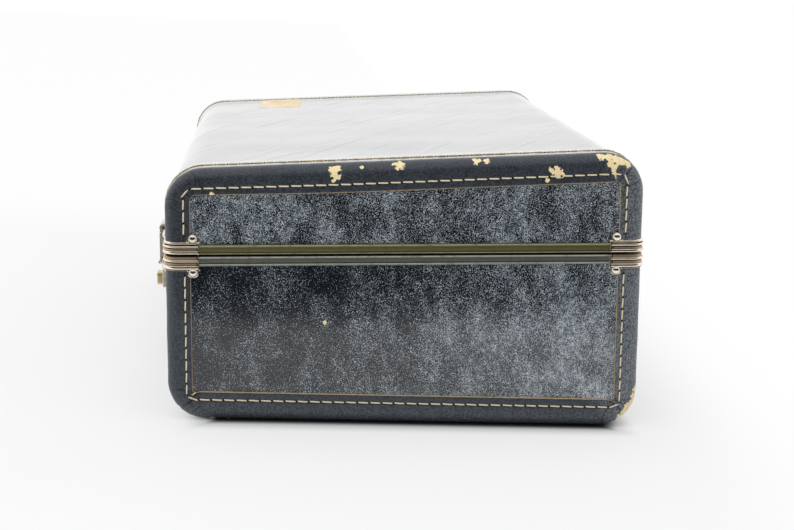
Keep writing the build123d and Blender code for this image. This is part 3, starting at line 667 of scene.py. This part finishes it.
# %% Outline of the base or lid from the end
long_edge_radius, end_edge_radius = 28.0, 9.0
band_width, band_reach, opening_radius = 18.0, 25.0, 5.0
leather_thick, glue_gap = 1.4, 0.02
band_start, cover_start = 7.7, 1.5


def rise(value, length):
    """0 up to 0, then an even rise to 1 over a length."""
    return np.clip(value / length, 0, 1)


def smooth(value, low, high):
    """0 below low, 1 above high, and a smooth way between."""
    share = rise(value - low, high - low)
    return share**2 * (3 - 2 * share)


def rounded(to_edge, radius):
    """0 at an edge and 1 from a radius inwards, by a quarter circle."""
    return np.sqrt(1 - (1 - rise(to_edge, radius)) ** 2)


def bend_centres(side, inset, corner=None):
    """Centres of the front and back bends for an inset, and the bends' radius."""
    front, rear = depths[side]
    slope = (rear - front) / case_width
    if corner is None:
        shift = band_width + opening_radius - long_edge_radius
        centre = long_edge_radius + shift * smooth(inset, end_edge_radius, band_width)
    else:
        centre = inset + corner
    across = case_width / 2 - centre
    down = centre * np.sqrt(1 + slope**2)
    middle = (front + rear) / 2
    return across, middle - slope * across - down, middle + slope * across - down, centre - inset


def end_outline(side, t, inset, start=band_start, corner=None):
    """y, z and the outward y and z at t along the outline: 0 to 1 the front wall from
    the seam, 1 to 2 its bend, 2 to 3 the flat, 3 to 4 the back bend, 4 to 5 the back
    wall. A point is its bend's centre, or one between two centres, plus radius times
    the outward direction."""
    t, inset = np.broadcast_arrays(np.asarray(t, float), np.asarray(inset, float))
    across, front_up, back_up, radius = bend_centres(side, inset, corner)
    front, rear = depths[side]
    level = np.pi / 2 + np.arctan((rear - front) / case_width)
    step = np.clip(t.astype(int), 0, 4)
    part = t - step
    turning = [np.pi, np.pi + part * (level - np.pi), level, level * (1 - part), 0.0]
    angle = np.choose(step, turning)
    y = np.choose(step, [-across, -across, across * (2 * part - 1), across, across])
    up_front = start + part * (front_up - start)
    over_flat = front_up + part * (back_up - front_up)
    down_back = back_up + part * (start - back_up)
    z = np.choose(step, [up_front, front_up, over_flat, back_up, down_back])
    out_y, out_z = np.cos(angle), np.sin(angle)
    return y + radius * out_y, side * (z + radius * out_z), out_y, side * out_z


def stations(side, spacing, bend_steps, start=band_start):
    """Values of t: even steps of about spacing on the walls and flat, finer in bends."""
    across, front_up, back_up, _ = bend_centres(side, 0.0)
    lengths = [front_up - start, 0, 2 * across, 0, back_up - start]
    counts = [bend_steps if i % 2 else max(2, int(d / spacing)) for i, d in enumerate(lengths)]
    runs = [i + np.arange(n) / n for i, n in enumerate(counts)]
    return np.concatenate([*runs, [5.0]])


print("outline at t 2.5", [round(float(v), 1) for v in end_outline(LID, 2.5, 0.0)[:2]])

# %% [markdown]
# Old leather and cloth are never quite even. Sums of sine waves in random directions
# give that unevenness in one array step, and the same each run. A few more helpers
# measure along curves and shape ridges and furrows.


# %% Measures and unevenness
def unit(vectors):
    """The same directions with length 1."""
    return vectors / np.linalg.norm(vectors, axis=-1, keepdims=True)


def hump(distance, width):
    """1 at no distance, and falling off like a bell."""
    return np.exp(-((distance / width) ** 2))


def arc_length(points):
    """Distance along a row of points from its first one."""
    steps = np.linalg.norm(np.diff(points, axis=0), axis=1)
    return np.concatenate([[0.0], np.cumsum(steps)])


def read_along(stops, far, rows):
    """Rows of values read at new distances, when each row's own distance is known."""
    return np.stack([np.interp(stops, far, column) for column in rows.T], -1)


def ripples(points, wavelength, count, seed):
    """Smooth unevenness from -1 to 1: a sum of sine waves in random directions."""
    draw = np.random.default_rng(seed)
    directions = unit(draw.normal(size=(count, 3)))
    rates = 2 * np.pi / (wavelength * draw.uniform(0.6, 1.6, count))
    waves = np.sin(points @ (directions * rates[:, None]).T + draw.uniform(0, 7, count))
    return waves.sum(-1) / np.sqrt(count) * 0.7


print("ripple at the middle", round(float(ripples(np.zeros(3), 90, 8, 11)), 3))

# %% [markdown]
# ## Leather bands
# Each end of the base and of the lid has a leather band, folded over the edge and
# sewn down on both faces. It is one sheet: across it runs from the covering, round
# the bend at the case's end and onto the end face. The surface sinks at both rows of
# stitches, its cut edges are rounded, and it is creased where it is gathered at the
# corners. The hidden underside closes it.

# %% Across a band, and its relief
cover_flat = band_reach - end_edge_radius
face_flat = band_width - end_edge_radius
band_bend = end_edge_radius * np.pi / 2
band_across = cover_flat + band_bend + face_flat
wider_on_flat = {BASE: 0.41, LID: 0.28}
widening = {BASE: (1.0, 2.0), LID: (1.9, 2.4)}
cover_margin, face_margin = 2.4, {BASE: 4.3, LID: 4.7}
stitch_sink, row_half = 0.3, 0.7
# each fold at a corner: its place past the middle of the bend, its depth and its width
corner_folds = (
    *((0.0, 0.85, 0.022), (-0.34, 0.4, 0.03), (0.3, 0.45, 0.026)),
    *((-0.2, 0.28, 0.016), (0.17, 0.3, 0.016), (0.42, 0.22, 0.02)),
)


def face_inset(w, t, side):
    """Inset of a band past its bend. It is cut a little wider along the flat."""
    wider = 1 + wider_on_flat[side] * smooth(t, *widening[side]) * smooth(4 - t, 0, 1)
    return np.maximum(w - cover_flat - band_bend, 0) * wider


def across_band(w, t, side, height=0.0):
    """x and inset at w millimetres across a band, raised by a height: flat on the
    covering, a quarter turn round the end edge, then flat on the end face."""
    turn = np.clip((w - cover_flat) / end_edge_radius, 0, np.pi / 2)
    x = case_length / 2 - band_reach + np.minimum(w, cover_flat)
    x = x + (end_edge_radius + height) * np.sin(turn)
    inset = end_edge_radius - (end_edge_radius + height) * np.cos(turn)
    return x, inset + face_inset(w, t, side)


def band_relief(t, w, end, side):
    """Height of the leather over its even surface, and how deep it is creased, which the finish
    paints as shade.
    """
    from_cut = band_across - w
    from_face_row = from_cut - face_margin[side]
    round_edge = -0.7 * (1 - rise(from_cut, 0.8)) ** 2
    pared_edge = -0.35 * (1 - rise(w, 2.2))
    rows = 0.2 * hump(w - cover_margin, row_half) + hump(from_face_row, row_half)
    swell = 0.16 * np.sin(np.pi * rise(np.minimum(w, from_cut), band_across / 2))
    relief = round_edge + pared_edge - stitch_sink * rows + swell
    crease_shade = 0.5 * hump(from_face_row, 1.1)
    reach = rise(w - cover_flat + 2, 8)
    draw = np.random.default_rng(7 + side + 3 * end)
    for bend in (1.5, 3.5):
        for offset, depth, width in corner_folds:
            where = bend + offset + draw.uniform(-0.05, 0.05)
            slant = draw.uniform(-0.12, 0.12) * np.sin(w / 5 + draw.uniform(0, 6))
            fold = reach * hump(t - where - slant, width)
            relief = relief - depth * fold
            crease_shade = np.maximum(crease_shade, np.minimum(1.6 * depth, 1) * fold**2)
    return relief, crease_shade


# %% Bands of both ends
near, far_off = np.linspace(0, 7, 15), np.linspace(band_across - 7, band_across, 15)
across_steps = np.concatenate([near, np.linspace(8, band_across - 8, 22), far_off])


def band(side, end):
    """One band as a closed sheet, with its place for the material."""
    t = stations(side, 3.0, 64)
    along_t, w = grid(t, across_steps)
    x, inset = across_band(w, along_t, side)
    y, z = end_outline(side, along_t, inset)[:2]
    even = together(end * x, y, z)
    relief, crease_shade = band_relief(along_t, w, end, side)
    calm = rise(np.minimum(w, band_across - w), 3)
    relief = relief + 0.12 * ripples(even, 14, 9, 3) * calm
    grids = []
    for height in (relief, glue_gap - leather_thick):
        x, inset = across_band(w, along_t, side, height)
        inset = np.where(w < cover_flat, -height, inset)
        x = np.where(w > cover_flat + band_bend, case_length / 2 + height, x)
        y, z = end_outline(side, along_t, inset)[:2]
        grids.append(together(end * x, y, z))
    cut = 1 - rise(band_across - w, 0.9)
    # the third value is 1 at the cut edge, and below 0 by how deep a crease is, for the painted
    # shade in creases
    cut_edge_and_crease_shade = np.where(cut > 0, cut, -crease_shade)
    middle = np.argmin(np.abs(across_steps - cover_flat - band_bend / 2))
    far = arc_length(even[:, middle])
    far = (far - np.interp(2.5, t, far))[:, None]
    place = [together(far, w - cover_flat, third) for third in (cut_edge_and_crease_shade, 1.0)]
    return *sheet_between(*grids), place


worn_bands = {(LID, 1): lid_worn_band, (BASE, 1): base_worn_band}
for side, half_name in side_names.items():
    for end, end_name in end_names.items():
        make_piece(
            f"{half_name}_{end_name}_band_leather",
            half_name,
            worn_bands.get((side, end), plain_band),
            band(side, end),
            f"{half_name}_{end_name}_band",
        )

# %% [markdown]
# ## Stitches
# Every band is sewn with two rows of cream thread. A row is a curve on the leather;
# stitches are set out along it by arc length. One stitch is a short tube that lies on
# the leather and dives into it at both ends. All the stitches of a band are one array
# product: each stitch's centre, plus the tube's points along its three directions.
# Between two stitches both ends of thread go through one needle hole, a flat lens painted near
# black as the shade inside it.

# %% Rows of stitches
stitch_pitch, stitch_length = 8.8, 8.3
stitch_phase, hole_phase = 0.6, 0.1
face_thread, cover_thread, cover_proud = 0.55, 0.75, 0.45
row_first, row_corner = 13.5, 7.5
tube_rings, tube_sides, hole_sides = 7, 6, 8


def sewn_row(side, end, on_end_face):
    """Points of a row and the outward direction at each."""
    t = np.linspace(0, 5, 3001)
    if on_end_face:
        inset = end_edge_radius + face_inset(band_across - face_margin[side], t, side)
        y, z = end_outline(side, t, inset, row_first, row_corner)[:2]
        return together(end * case_length / 2, y, z), together(end + 0 * t, 0, 0)
    y, z, out_y, out_z = end_outline(side, t, 0.0, row_first)
    x = case_length / 2 - band_reach + cover_margin
    return together(end * x, y, z), together(0, out_y, out_z)


def set_out(row, out, phase):
    """Centres, forward, outward and sideways directions at each pitch along a row."""
    far = arc_length(row)
    stops = np.arange(phase * stitch_pitch, far[-1], stitch_pitch)
    centres = read_along(stops, far, row)
    forward = read_along(stops + 0.5, far, row) - centres
    keep = np.linalg.norm(forward, axis=1) > 0.1
    centres, forward, stops = centres[keep], unit(forward[keep]), stops[keep]
    outward = unit(read_along(stops, far, out))
    return centres, (forward, outward, np.cross(forward, outward))


def repeated(centres, axes, shape):
    """One small shape at every centre: shape is points in the three directions."""
    spread = sum(axis[:, None, :] * shape[None, :, i, None] for i, axis in enumerate(axes))
    return centres[:, None, :] + spread


def stitch_shape(thread_radius):
    """Rings of a thread's tube, bowed like an arch and thin at both ends."""
    along = np.linspace(-1, 1, tube_rings)[:, None]
    angle = np.arange(tube_sides) * 2 * np.pi / tube_sides
    bow = 0.42 * (1 - along**4) - 0.36
    thick = thread_radius * np.sqrt(1 - 0.7 * along**6)
    sideways = thick * np.cos(angle) + 0.18 * along
    return together(along * stitch_length / 2, bow + thick * np.sin(angle) * 0.8, sideways)


def hole_shape():
    """A flat lens that paints a hole's shade: points round its rim, then one above and one below.
    """
    angle = np.arange(hole_sides) * 2 * np.pi / hole_sides
    rim = together(0.95 * np.cos(angle), -0.1, 0.85 * np.sin(angle))
    return np.concatenate([rim, [[0, 0.5, 0], [0, -0.5, 0]]])


tube_faces = carried(stitch_shape(face_thread))[1]
tube_place = together(*grid(np.arange(tube_rings), np.arange(tube_sides)), 0).reshape(-1, 3)
around = [(i, (i + 1) % hole_sides) for i in range(hole_sides)]
hole_faces = [[i, j, hole_sides] for i, j in around] + [[j, i, hole_sides + 1] for i, j in around]

# %% [markdown]
# The second row stands a little higher where it shows over the photographed edge,
# because it would be lost behind the band's bend otherwise.

# %% Stitches and needle holes of every band
for side, half_name in side_names.items():
    for end, end_name in end_names.items():
        sewn, pierced = [], []
        for on_end_face in (True, False):
            row, out = sewn_row(side, end, on_end_face)
            shows = (side, end) == (LID, 1) and not on_end_face
            proud, radius = (cover_proud, cover_thread) if shows else (0.0, face_thread)
            centres, axes = set_out(row, out, stitch_phase)
            tube = stitch_shape(radius).reshape(-1, 3)
            sewn += [*repeated(centres + proud * axes[1], axes, tube)]
            centres, axes = set_out(row, out, hole_phase)
            pierced += [*repeated(centres + 0.6 * proud * axes[1], axes, hole_shape())]
        stitches = gathered([(points, tube_faces, tube_place) for points in sewn])
        holes = gathered([(points, hole_faces) for points in pierced])
        name = f"{half_name}_{end_name}"
        make_piece(f"{name}_stitches", half_name, thread.material, stitches)
        make_piece(f"{name}_needle_hole_shades", half_name, hole_shade.material, holes)

# %% [markdown]
# ## Coverings
# The leathercloth runs from the front rail over the flat to the back rail, as one
# sheet along the outline and along the case. It is not quite even: wide dents, and
# fine wrinkles that run in from the bands. It rises to meet each band's pared edge.

# %% Leathercloth of the base and the lid
cover_thick = 0.9
cover_reach = case_length / 2 - end_edge_radius - 0.2


def pasted_sheet(side, t, x, start, insets, lift):
    """Two grids along the outline and the case, at two insets. The first is lifted."""
    along_t, along_x = grid(t, x)
    grids = []
    for inset in insets:
        y, z, out_y, out_z = end_outline(side, along_t, inset, start)
        even = together(along_x, y, z)
        outward = together(0, out_y, out_z)
        grids.append(even if grids else even + lift(even)[..., None] * outward)
    return grids


def cover_lift(even):
    """Dents and wrinkles of the leathercloth, and its rise to the bands."""
    from_band = case_length / 2 - band_reach - np.abs(even[..., 0])
    off_rail = rise(np.abs(even[..., 2]) - band_start, 8)
    calm = rise(from_band, 12) * off_rail
    drawn_in = ripples(even * np.array([0.25, 1, 1]), 9, 7, 5)
    wrinkle = np.exp(-np.maximum(from_band, 0) / 22) * drawn_in
    lift = calm * (0.32 * ripples(even, 90, 8, 11) + 0.16 * wrinkle)
    return lift + (1 - smooth(from_band, 0, 26)) * off_rail


for side, half_name in side_names.items():
    t = stations(side, 4.0, 12, cover_start)
    x = np.linspace(-cover_reach, cover_reach, 171)
    insets = (leather_thick, leather_thick + cover_thick)
    outer, inner = pasted_sheet(side, t, x, cover_start, insets, cover_lift)
    on_flat = (side == LID) * ((t >= 2) & (t <= 3))[:, None]
    place = together(inner[..., 0], inner[..., 1], on_flat)
    covering = make_piece(
        f"{half_name}_leathercloth",
        half_name,
        cover.material,
        (*sheet_between(outer, inner), [place, place]),
        f"{half_name}_wrap",
    )
    flat = (2 * cover_reach / 1000, float(arc_length(inner[:, 0])[-1]) / 1000)

# %% [markdown]
# ## Rails
# A rolled metal rail closes the edge of the base and of the lid. Its profile is one
# closed line: a rounded bead along the outer strip, a flange in over the boards and,
# on the base, a tongue that stands up inside the lid. The profile is carried once
# round the rim, which is a rectangle with rounded corners.


# %% The rim seen from above, and the two rails
def rim_outline(t, inset):
    """x and y at t round the rim: even steps are straight sides, odd ones corners."""
    radius = np.maximum(end_edge_radius - inset, 0.5)
    half_x = case_length / 2 - inset - radius
    half_y = case_width / 2 - inset - radius
    step, part = t.astype(int) % 8, t % 1
    quarter = (step + 1) // 2
    turned_short = (1 - part) * (step % 2)
    angle = (quarter - 1 - turned_short) * np.pi / 2
    sweep = 2 * part - 1
    x = np.choose(
        step, [sweep * half_x, half_x, half_x, half_x, -sweep * half_x, *3 * [-half_x]]
    )
    y = np.choose(
        step, [-half_y, -half_y, sweep * half_y, *3 * [half_y], -sweep * half_y, -half_y]
    )
    return x + radius * np.cos(angle), y + radius * np.sin(angle)


def bead(inset, low, high, swell, count=7):
    """A rounded edge of a strip as points: half a sine hump between two heights."""
    share = np.linspace(0, 1, count)
    return together(inset - swell * np.sin(np.pi * share), low + share * (high - low))


# inset and height of each rail's outer strip, then of its flange or its tongue
outer_strips = {
    BASE: [bead(0.15, 7.7, 6.3, 0.55), bead(0.2, 6.2, 1.3, 0.03, 5), bead(0.15, 1.2, 0.75, 0.05)],
    LID: [bead(0.15, 7.7, 7.0, 0.1), bead(0.2, 6.9, 1.5, 0.06, 5), bead(0.15, 1.4, 0.75, 0.25)],
}
tongue = [
    *((8.8, 0.7), (8.8, -3.7), (9.0, -4.0), (9.4, -4.0)),
    *((9.6, -3.7), (9.6, 8.0), (8.8, 8.0), (8.8, 1.5)),
]
inner_lines = {BASE: tongue, LID: [(8.4, 0.7), (8.4, 1.5)]}
behind_strip = [(1.4, 1.5), (1.4, 7.7)]
side_steps, corner_steps = np.array([0.0, 0.5]), np.arange(8) / 8
rim_t = np.concatenate([i + (corner_steps if i % 2 else side_steps) for i in range(8)])
for side, finish, slot in ((BASE, base_metal, "dull_alloy"), (LID, lid_metal, "old_brass")):
    inset, height = np.concatenate([*outer_strips[side], inner_lines[side], behind_strip]).T
    x, y = rim_outline(rim_t[:, None], inset)
    rail = carried(together(x, y, side * height), closed=True)
    name = f"{side_names[side]}_rail"
    make_piece(f"{name}_rolled", side_names[side], finish, rail, name)

# %% [markdown]
# ## Corner clips
# A clip is pressed sheet, bent round the corner over the rail, with long grooves and a
# round ear on each leg for a nail. It is a height over the corner's surface: a
# function of the way along the bend and the way up from the seam. The upper edge
# rises into a half circle at each ear.

# %% Pressed and grooved clips
clip_leg, clip_sheet = 24.8, 0.8
clip_heights = {LID: 9.2, BASE: 10.2}
clip_start, low_share = 0.7, 0.8
ear_radius, ear_overhang, ear_from_corner = 4.2, 1.3, 19.6
ridge_height = 1.2
half_bend = end_edge_radius * np.pi / 4
clip_reach = half_bend + clip_leg - end_edge_radius
ear_along = half_bend + ear_from_corner - end_edge_radius
# ridges of each clip: height over the seam's edge, half width, and share of the height
ridges = {
    LID: ((1.6, 1.2, 1.0), (5.8, 0.85, 1.0), (8.2, 0.7, 0.45)),
    BASE: ((3.0, 0.9, 1.0), (7.8, 1.35, 1.0)),
}
# painted shade: a dark line this wide under each ridge, and one this far in from each end of the
# grooves
shade_width, end_shade_inset, clip_sunk = 0.42, 2.2, 0.05


def clip_surface(side):
    """Way along a clip, way up it, the metal's height there and its groove value, which is 2 where
    shade is painted.
    """
    clip_height = clip_heights[side]
    a = clip_reach * np.sin(np.linspace(-1, 1, 121) * np.pi / 2)
    from_ear = np.abs(np.abs(a) - ear_along)
    ear = clip_height + ear_overhang + np.sqrt(np.clip(ear_radius**2 - from_ear**2, 0, None))
    top = np.where(from_ear < ear_radius, ear, clip_height + 0.1)[:, None]
    along, up_share = grid(a, np.linspace(0, 1, 61))
    low = np.minimum(up_share / low_share, 1) * clip_height
    up = low + np.clip(up_share - low_share, 0, 1) / 0.2 * (top - clip_height)
    to_end = clip_reach - np.abs(along)
    to_edge = np.minimum(np.minimum(to_end, up), np.maximum(top - up, 0))
    sheet = clip_sheet * rounded(to_edge, 0.6)
    # painted shade: near each end of the grooves here, and just under each ridge below
    raised, painted_shade = 0 * up, hump(to_end - end_shade_inset, shade_width)
    for middle, half, full in ridges[side]:
        ridge = full * np.sqrt(np.clip(1 - ((up - middle) / half) ** 4, 0, 1))
        raised = np.maximum(raised, ridge)
        foot = middle - side * (half + shade_width)
        painted_shade = np.maximum(painted_shade, hump(up - foot, shade_width))
    rim = smooth(to_end, 0.1, 0.7) * (1 - smooth(to_end, 1.3, 2.0)) * (up < clip_height - 1)
    raised = np.maximum(raised * smooth(to_end, 0.1, 0.8), rim)
    groove = (1 - rise(raised, 1 / 1.3)) * (up < clip_height - 0.4) * (to_end > 0.9)
    return along, up, sheet + ridge_height * raised, groove * (1 + painted_shade)


def clip(side, corner_x, corner_y):
    """One clip: height over the surface, carried round the rounded corner."""
    along, up, height, groove = clip_surface(side)
    angle = np.clip(-np.pi / 4 + along / end_edge_radius, -np.pi / 2, 0)
    beyond = np.maximum(np.abs(along) - half_bend, 0)
    grids = []
    for lifted in (height, -clip_sunk):
        radius = end_edge_radius + lifted
        x = case_length / 2 - end_edge_radius + radius * np.cos(angle) - beyond * (along < 0)
        y = -case_width / 2 + end_edge_radius + radius * np.sin(angle) + beyond * (along > 0)
        grids.append(together(corner_x * x, -corner_y * y, side * (clip_start + up)))
    place = together(along, up, groove)
    return *sheet_between(*grids), [place, place]


for side, half_name in side_names.items():
    clips = gathered([clip(side, x, y) for x in (-1, 1) for y in (-1, 1)])
    name = f"{half_name}_pressed_clips"
    make_piece(name, half_name, clip_metal.material, clips, f"{half_name}_corner_clips")

# %% [markdown]
# ## Linings
# Satin is pasted over the boards inside. One piece runs from wall to wall over the
# floor or the top, and one lies on each end. It is a little loose, so it ripples.

# %% Satin linings
lining_outside, lining_inside = 7.45, 8.4
lining_start, saved_in_bends = 1.6, 20
lining_reach = case_length / 2 - lining_inside


def lining_lift(even):
    """Ripples of the satin, calm at the end walls and at the seam."""
    off_rail = rise(np.abs(even[..., 2]) - 9.5, 12)
    calm = rise(lining_reach - np.abs(even[..., 0]), 15) * off_rail
    return calm * (0.35 * ripples(even, 40, 9, 21))


def lining_long(side):
    """The long piece: the outline carried along the case."""
    t = stations(side, 4.5, 10, lining_start)
    x = np.linspace(-lining_reach, lining_reach, 150)
    insets = (lining_inside, lining_outside)
    return sheet_between(*pasted_sheet(side, t, x, lining_start, insets, lining_lift))


def lining_end(side, end):
    """An end piece: upright lines from the seam to the outline."""
    half = case_width / 2 - lining_inside
    y = half * np.sin(np.linspace(-1, 1, 90) * np.pi / 2)
    outline = np.linspace(0, 5, 1201)
    edge_y, edge_z = end_outline(side, outline, lining_inside, lining_start)[:2]
    limit = np.interp(y, edge_y[1:-1], side * edge_z[1:-1])
    tall = np.maximum(limit, lining_start + 1)[:, None] - lining_start
    across, up = grid(y, np.linspace(0, 1, 30))
    z = side * (lining_start + up * tall)
    inside, outside = (
        together(end * (case_length / 2 - inset), across, z)
        for inset in (lining_inside, lining_outside)
    )
    calm = np.sin(np.pi * up) * np.cos(np.pi / 2 * across / half)
    inside[..., 0] += 0.3 * end * ripples(inside, 35, 8, 31) * calm
    return sheet_between(inside, outside)


for side, half_name in side_names.items():
    linings = gathered([lining_long(side), lining_end(side, 1), lining_end(side, -1)])
    name = f"{half_name}_satin"
    lining = make_piece(name, half_name, satin.material, linings, f"{half_name}_lining")
    # a long cut from wall to wall with an end piece on each side of it
    deep = sum(depths[side]) / 2 - lining_inside
    cut_length, inside_width = 2 * lining_reach, case_width - 2 * lining_inside
    cut_width = inside_width + 2 * deep - saved_in_bends
    flat = ((cut_length + 2 * deep) / 1000, cut_width / 1000)
    area = (cut_length * cut_width + 2 * deep * inside_width) / 1e6

# %% [markdown]
# ## Pocket
# A gathered pocket lies against the lid's top, with an elastic mouth. Its folds run
# back from the mouth, where they are tight and deep, and flatten towards the hinges.

# %% Gathered pocket and its mouth
pocket_half, pocket_front, pocket_back = 222.0, -62.0, 142.0
pocket_inset = lining_inside + 0.3
wide_fold, narrow_fold = 9.5, 5.3


def lid_top(y, inset):
    """Height of the lid's top over the seam at y, a given inset down."""
    front, rear = depths[LID]
    slope = (rear - front) / case_width
    return (front + rear) / 2 + slope * y - inset * np.sqrt(1 + slope**2)


x = np.linspace(-pocket_half, pocket_half, 340)
pocket_deep = pocket_back - pocket_front
x, y = grid(x, pocket_front + pocket_deep * np.linspace(0, 1, 70) ** 1.2)
back_share = (y - pocket_front) / pocket_deep
drift = 3.0 * ripples(together(x, y * 0.3, 0), 70, 6, 41)
folds = np.sin((x + drift) * 2 * np.pi / wide_fold)
folds = folds + 0.5 * np.sin((x - drift) * 2 * np.pi / narrow_fold)
to_edge = np.minimum(pocket_half - np.abs(x), np.minimum(y - pocket_front + 1, pocket_back - y))
fold_height = 0.75 * folds * (1 - 0.75 * back_share)
loose = 0.6 * ripples(together(x, y, 0), 55, 6, 43)
puff = rounded(to_edge, 6) * (2.7 + fold_height + loose)
pocket_sheet = sheet_between(
    *(together(x, y, lid_top(y, pocket_inset + up)) for up in (np.maximum(puff, 0.15), 0))
)
pocket = make_piece("pocket_gathers", "lid", satin.material, pocket_sheet, "lid_pocket")
flat = (2 * pocket_half / 1000, pocket_deep / 1000)

elastic_radius = 4.0
mouth_y = pocket_front - elastic_radius - 0.3
x = np.linspace(-pocket_half, pocket_half, 420)[:, None]
angle = np.arange(16) * np.pi / 8
ends = np.maximum(rounded(pocket_half - np.abs(x), 3), np.sqrt(0.02))
ruche = 1 - 0.12 * (1 + np.sin(x * 2 * np.pi / 5.2)) - 0.04 * np.sin(x * 2 * np.pi / 17)
radius = elastic_radius * ends * ruche
centre_up = lid_top(mouth_y, pocket_inset + elastic_radius)
mouth = carried(together(x, mouth_y + radius * np.cos(angle), centre_up + radius * np.sin(angle)))
make_piece("pocket_ruched_mouth", "lid", satin.material, mouth, "pocket_elastic")

# %% [markdown]
# ## Straps
# Two cotton straps hold the clothes down. Each is a flat ribbon with rounded edges,
# carried along the inside of the base from one wall over the floor to the other.

# %% Webbing straps
strap_x, strap_width, strap_thick, strap_top = 110.0, 22.0, 1.6, 55.0


def squared(wave):
    """A sine or cosine drawn out towards a square, for a profile with rounded edges."""
    return np.sign(wave) * np.abs(wave) ** 0.4


def strap(sign):
    """A ribbon's rounded profile along the lining, and its place in millimetres."""
    t = stations(BASE, 3.0, 12, strap_top)
    angle = np.linspace(0, 2 * np.pi, 24, endpoint=False)
    wide = squared(np.cos(angle)) * strap_width / 2
    thick = squared(np.sin(angle)) * (strap_thick / 2 - 0.05)
    inset = lining_inside + strap_thick / 2 + 0.05 + thick
    y, z = end_outline(BASE, t[:, None], inset, strap_top)[:2]
    ribbon = together(sign * strap_x + wide, y, z)
    far = arc_length(ribbon[:, 0])[:, None]
    return *carried(ribbon), together(far, wide, 0).reshape(-1, 3)


straps = gathered([strap(sign) for sign in (-1, 1)])
make_piece("webbing_straps", "base", webbing.material, straps, "packing_straps")

# %% [markdown]
# ## Handle
# The grip is leather sewn round a core. Its middle line drops from each cap, turns
# along the case and bows a little in the middle. An oval that is fullest in the
# middle is carried along it, with a sewn ridge on the inner side.


# %% Leather grip
def rounded_line(corners, radii, spacing):
    """A line through corners with each inner one rounded by an arc of its radius."""
    corners = np.asarray(corners, float)
    runs = [corners[:1]]
    for before, here, after, radius in zip(corners, corners[1:], corners[2:], radii):
        u, v = unit(before - here), unit(after - here)
        half = np.arccos(np.clip(u @ v, -1, 1)) / 2
        middle = here + unit(u + v) * radius / np.sin(half)
        start = here + u * radius / np.tan(half) - middle
        stop = here + v * radius / np.tan(half) - middle
        chord = start + np.linspace(0, 1, 24)[:, None] * (stop - start)
        runs.append(middle + unit(chord) * radius)
    line = np.concatenate([*runs, corners[-1:]])
    far = arc_length(line)
    return read_along(np.linspace(0, far[-1], int(far[-1] / spacing)), far, line)


handle_half, grip_top, grip_low, grip_bow = 72.0, -35.0, -53.0, -58.0
handle_out = 8.0
half_line = [(-handle_half, grip_top), (-handle_half, grip_low)]
other_half = [(-x, z) for x, z in half_line[::-1]]
line = rounded_line([*half_line, (0, grip_bow), *other_half], (16, 220, 16), 1.2)
forward = unit(np.gradient(line, axis=0))
inward_x, inward_z = -forward[:, 1, None], forward[:, 0, None]
share = np.linspace(-1, 1, len(line))[:, None]
angle = np.linspace(0, 2 * np.pi, 40, endpoint=False)
full = (1 - share**2) ** 0.7
tall, thick = 5.6 + 3.7 * full, 5.2 + 1.4 * full
from_inner = angle - np.pi / 2
ridge = 1 + 0.10 * hump(from_inner, 0.12) - 0.05 * hump(np.abs(from_inner) - 0.42, 0.1)
squeeze = 1 - 0.03 * hump(np.abs(share) - 0.985, 0.01)
creases = np.sin(share * 160) * hump(np.abs(share) - 0.62, 0.14)
lift = tall * np.sin(angle) * ridge * squeeze + 0.12 * creases * rise(np.sin(angle), 1)
grip_rings = together(
    line[:, 0, None] + inward_x * lift,
    -case_width / 2 - handle_out - thick * np.cos(angle) * squeeze,
    line[:, 1, None] + inward_z * lift,
)
grip_surface = (*carried(grip_rings), together(share * 130, angle * 6, 0))
grip = make_piece("grip_leather", "handle", plain_band, grip_surface, "handle_grip")

# %% [markdown]
# ## Finishes for the parts that keep their CAD shape
# Boards, panels, rivets, hinges, latches and buckles are right as they are, and take
# a finish that suits what they are made of. Each node's name ends in its kind.

# %% Finishes by name
kinds_of = {
    plywood.material: ("board",),
    tweed.material: ("panel",),
    nickel: ("rivets", "feet", "leaves", "buckles"),
    nail_metal: ("nails",),
    steel: ("hinge_pins", "pin", "staple", "bolt", "spring"),
    worn_nickel: ("brackets", "links", "caps", "plate", "hasp", "case"),
    brass: ("button",),
}
for name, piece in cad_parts.items():
    if piece.hide_render:
        continue
    chosen = next(finish for finish, kinds in kinds_of.items() if name.endswith(kinds))
    piece.data.materials.clear()
    piece.data.materials.append(chosen)
print("dressed", sum(not o.hide_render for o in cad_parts.values()), "CAD nodes")
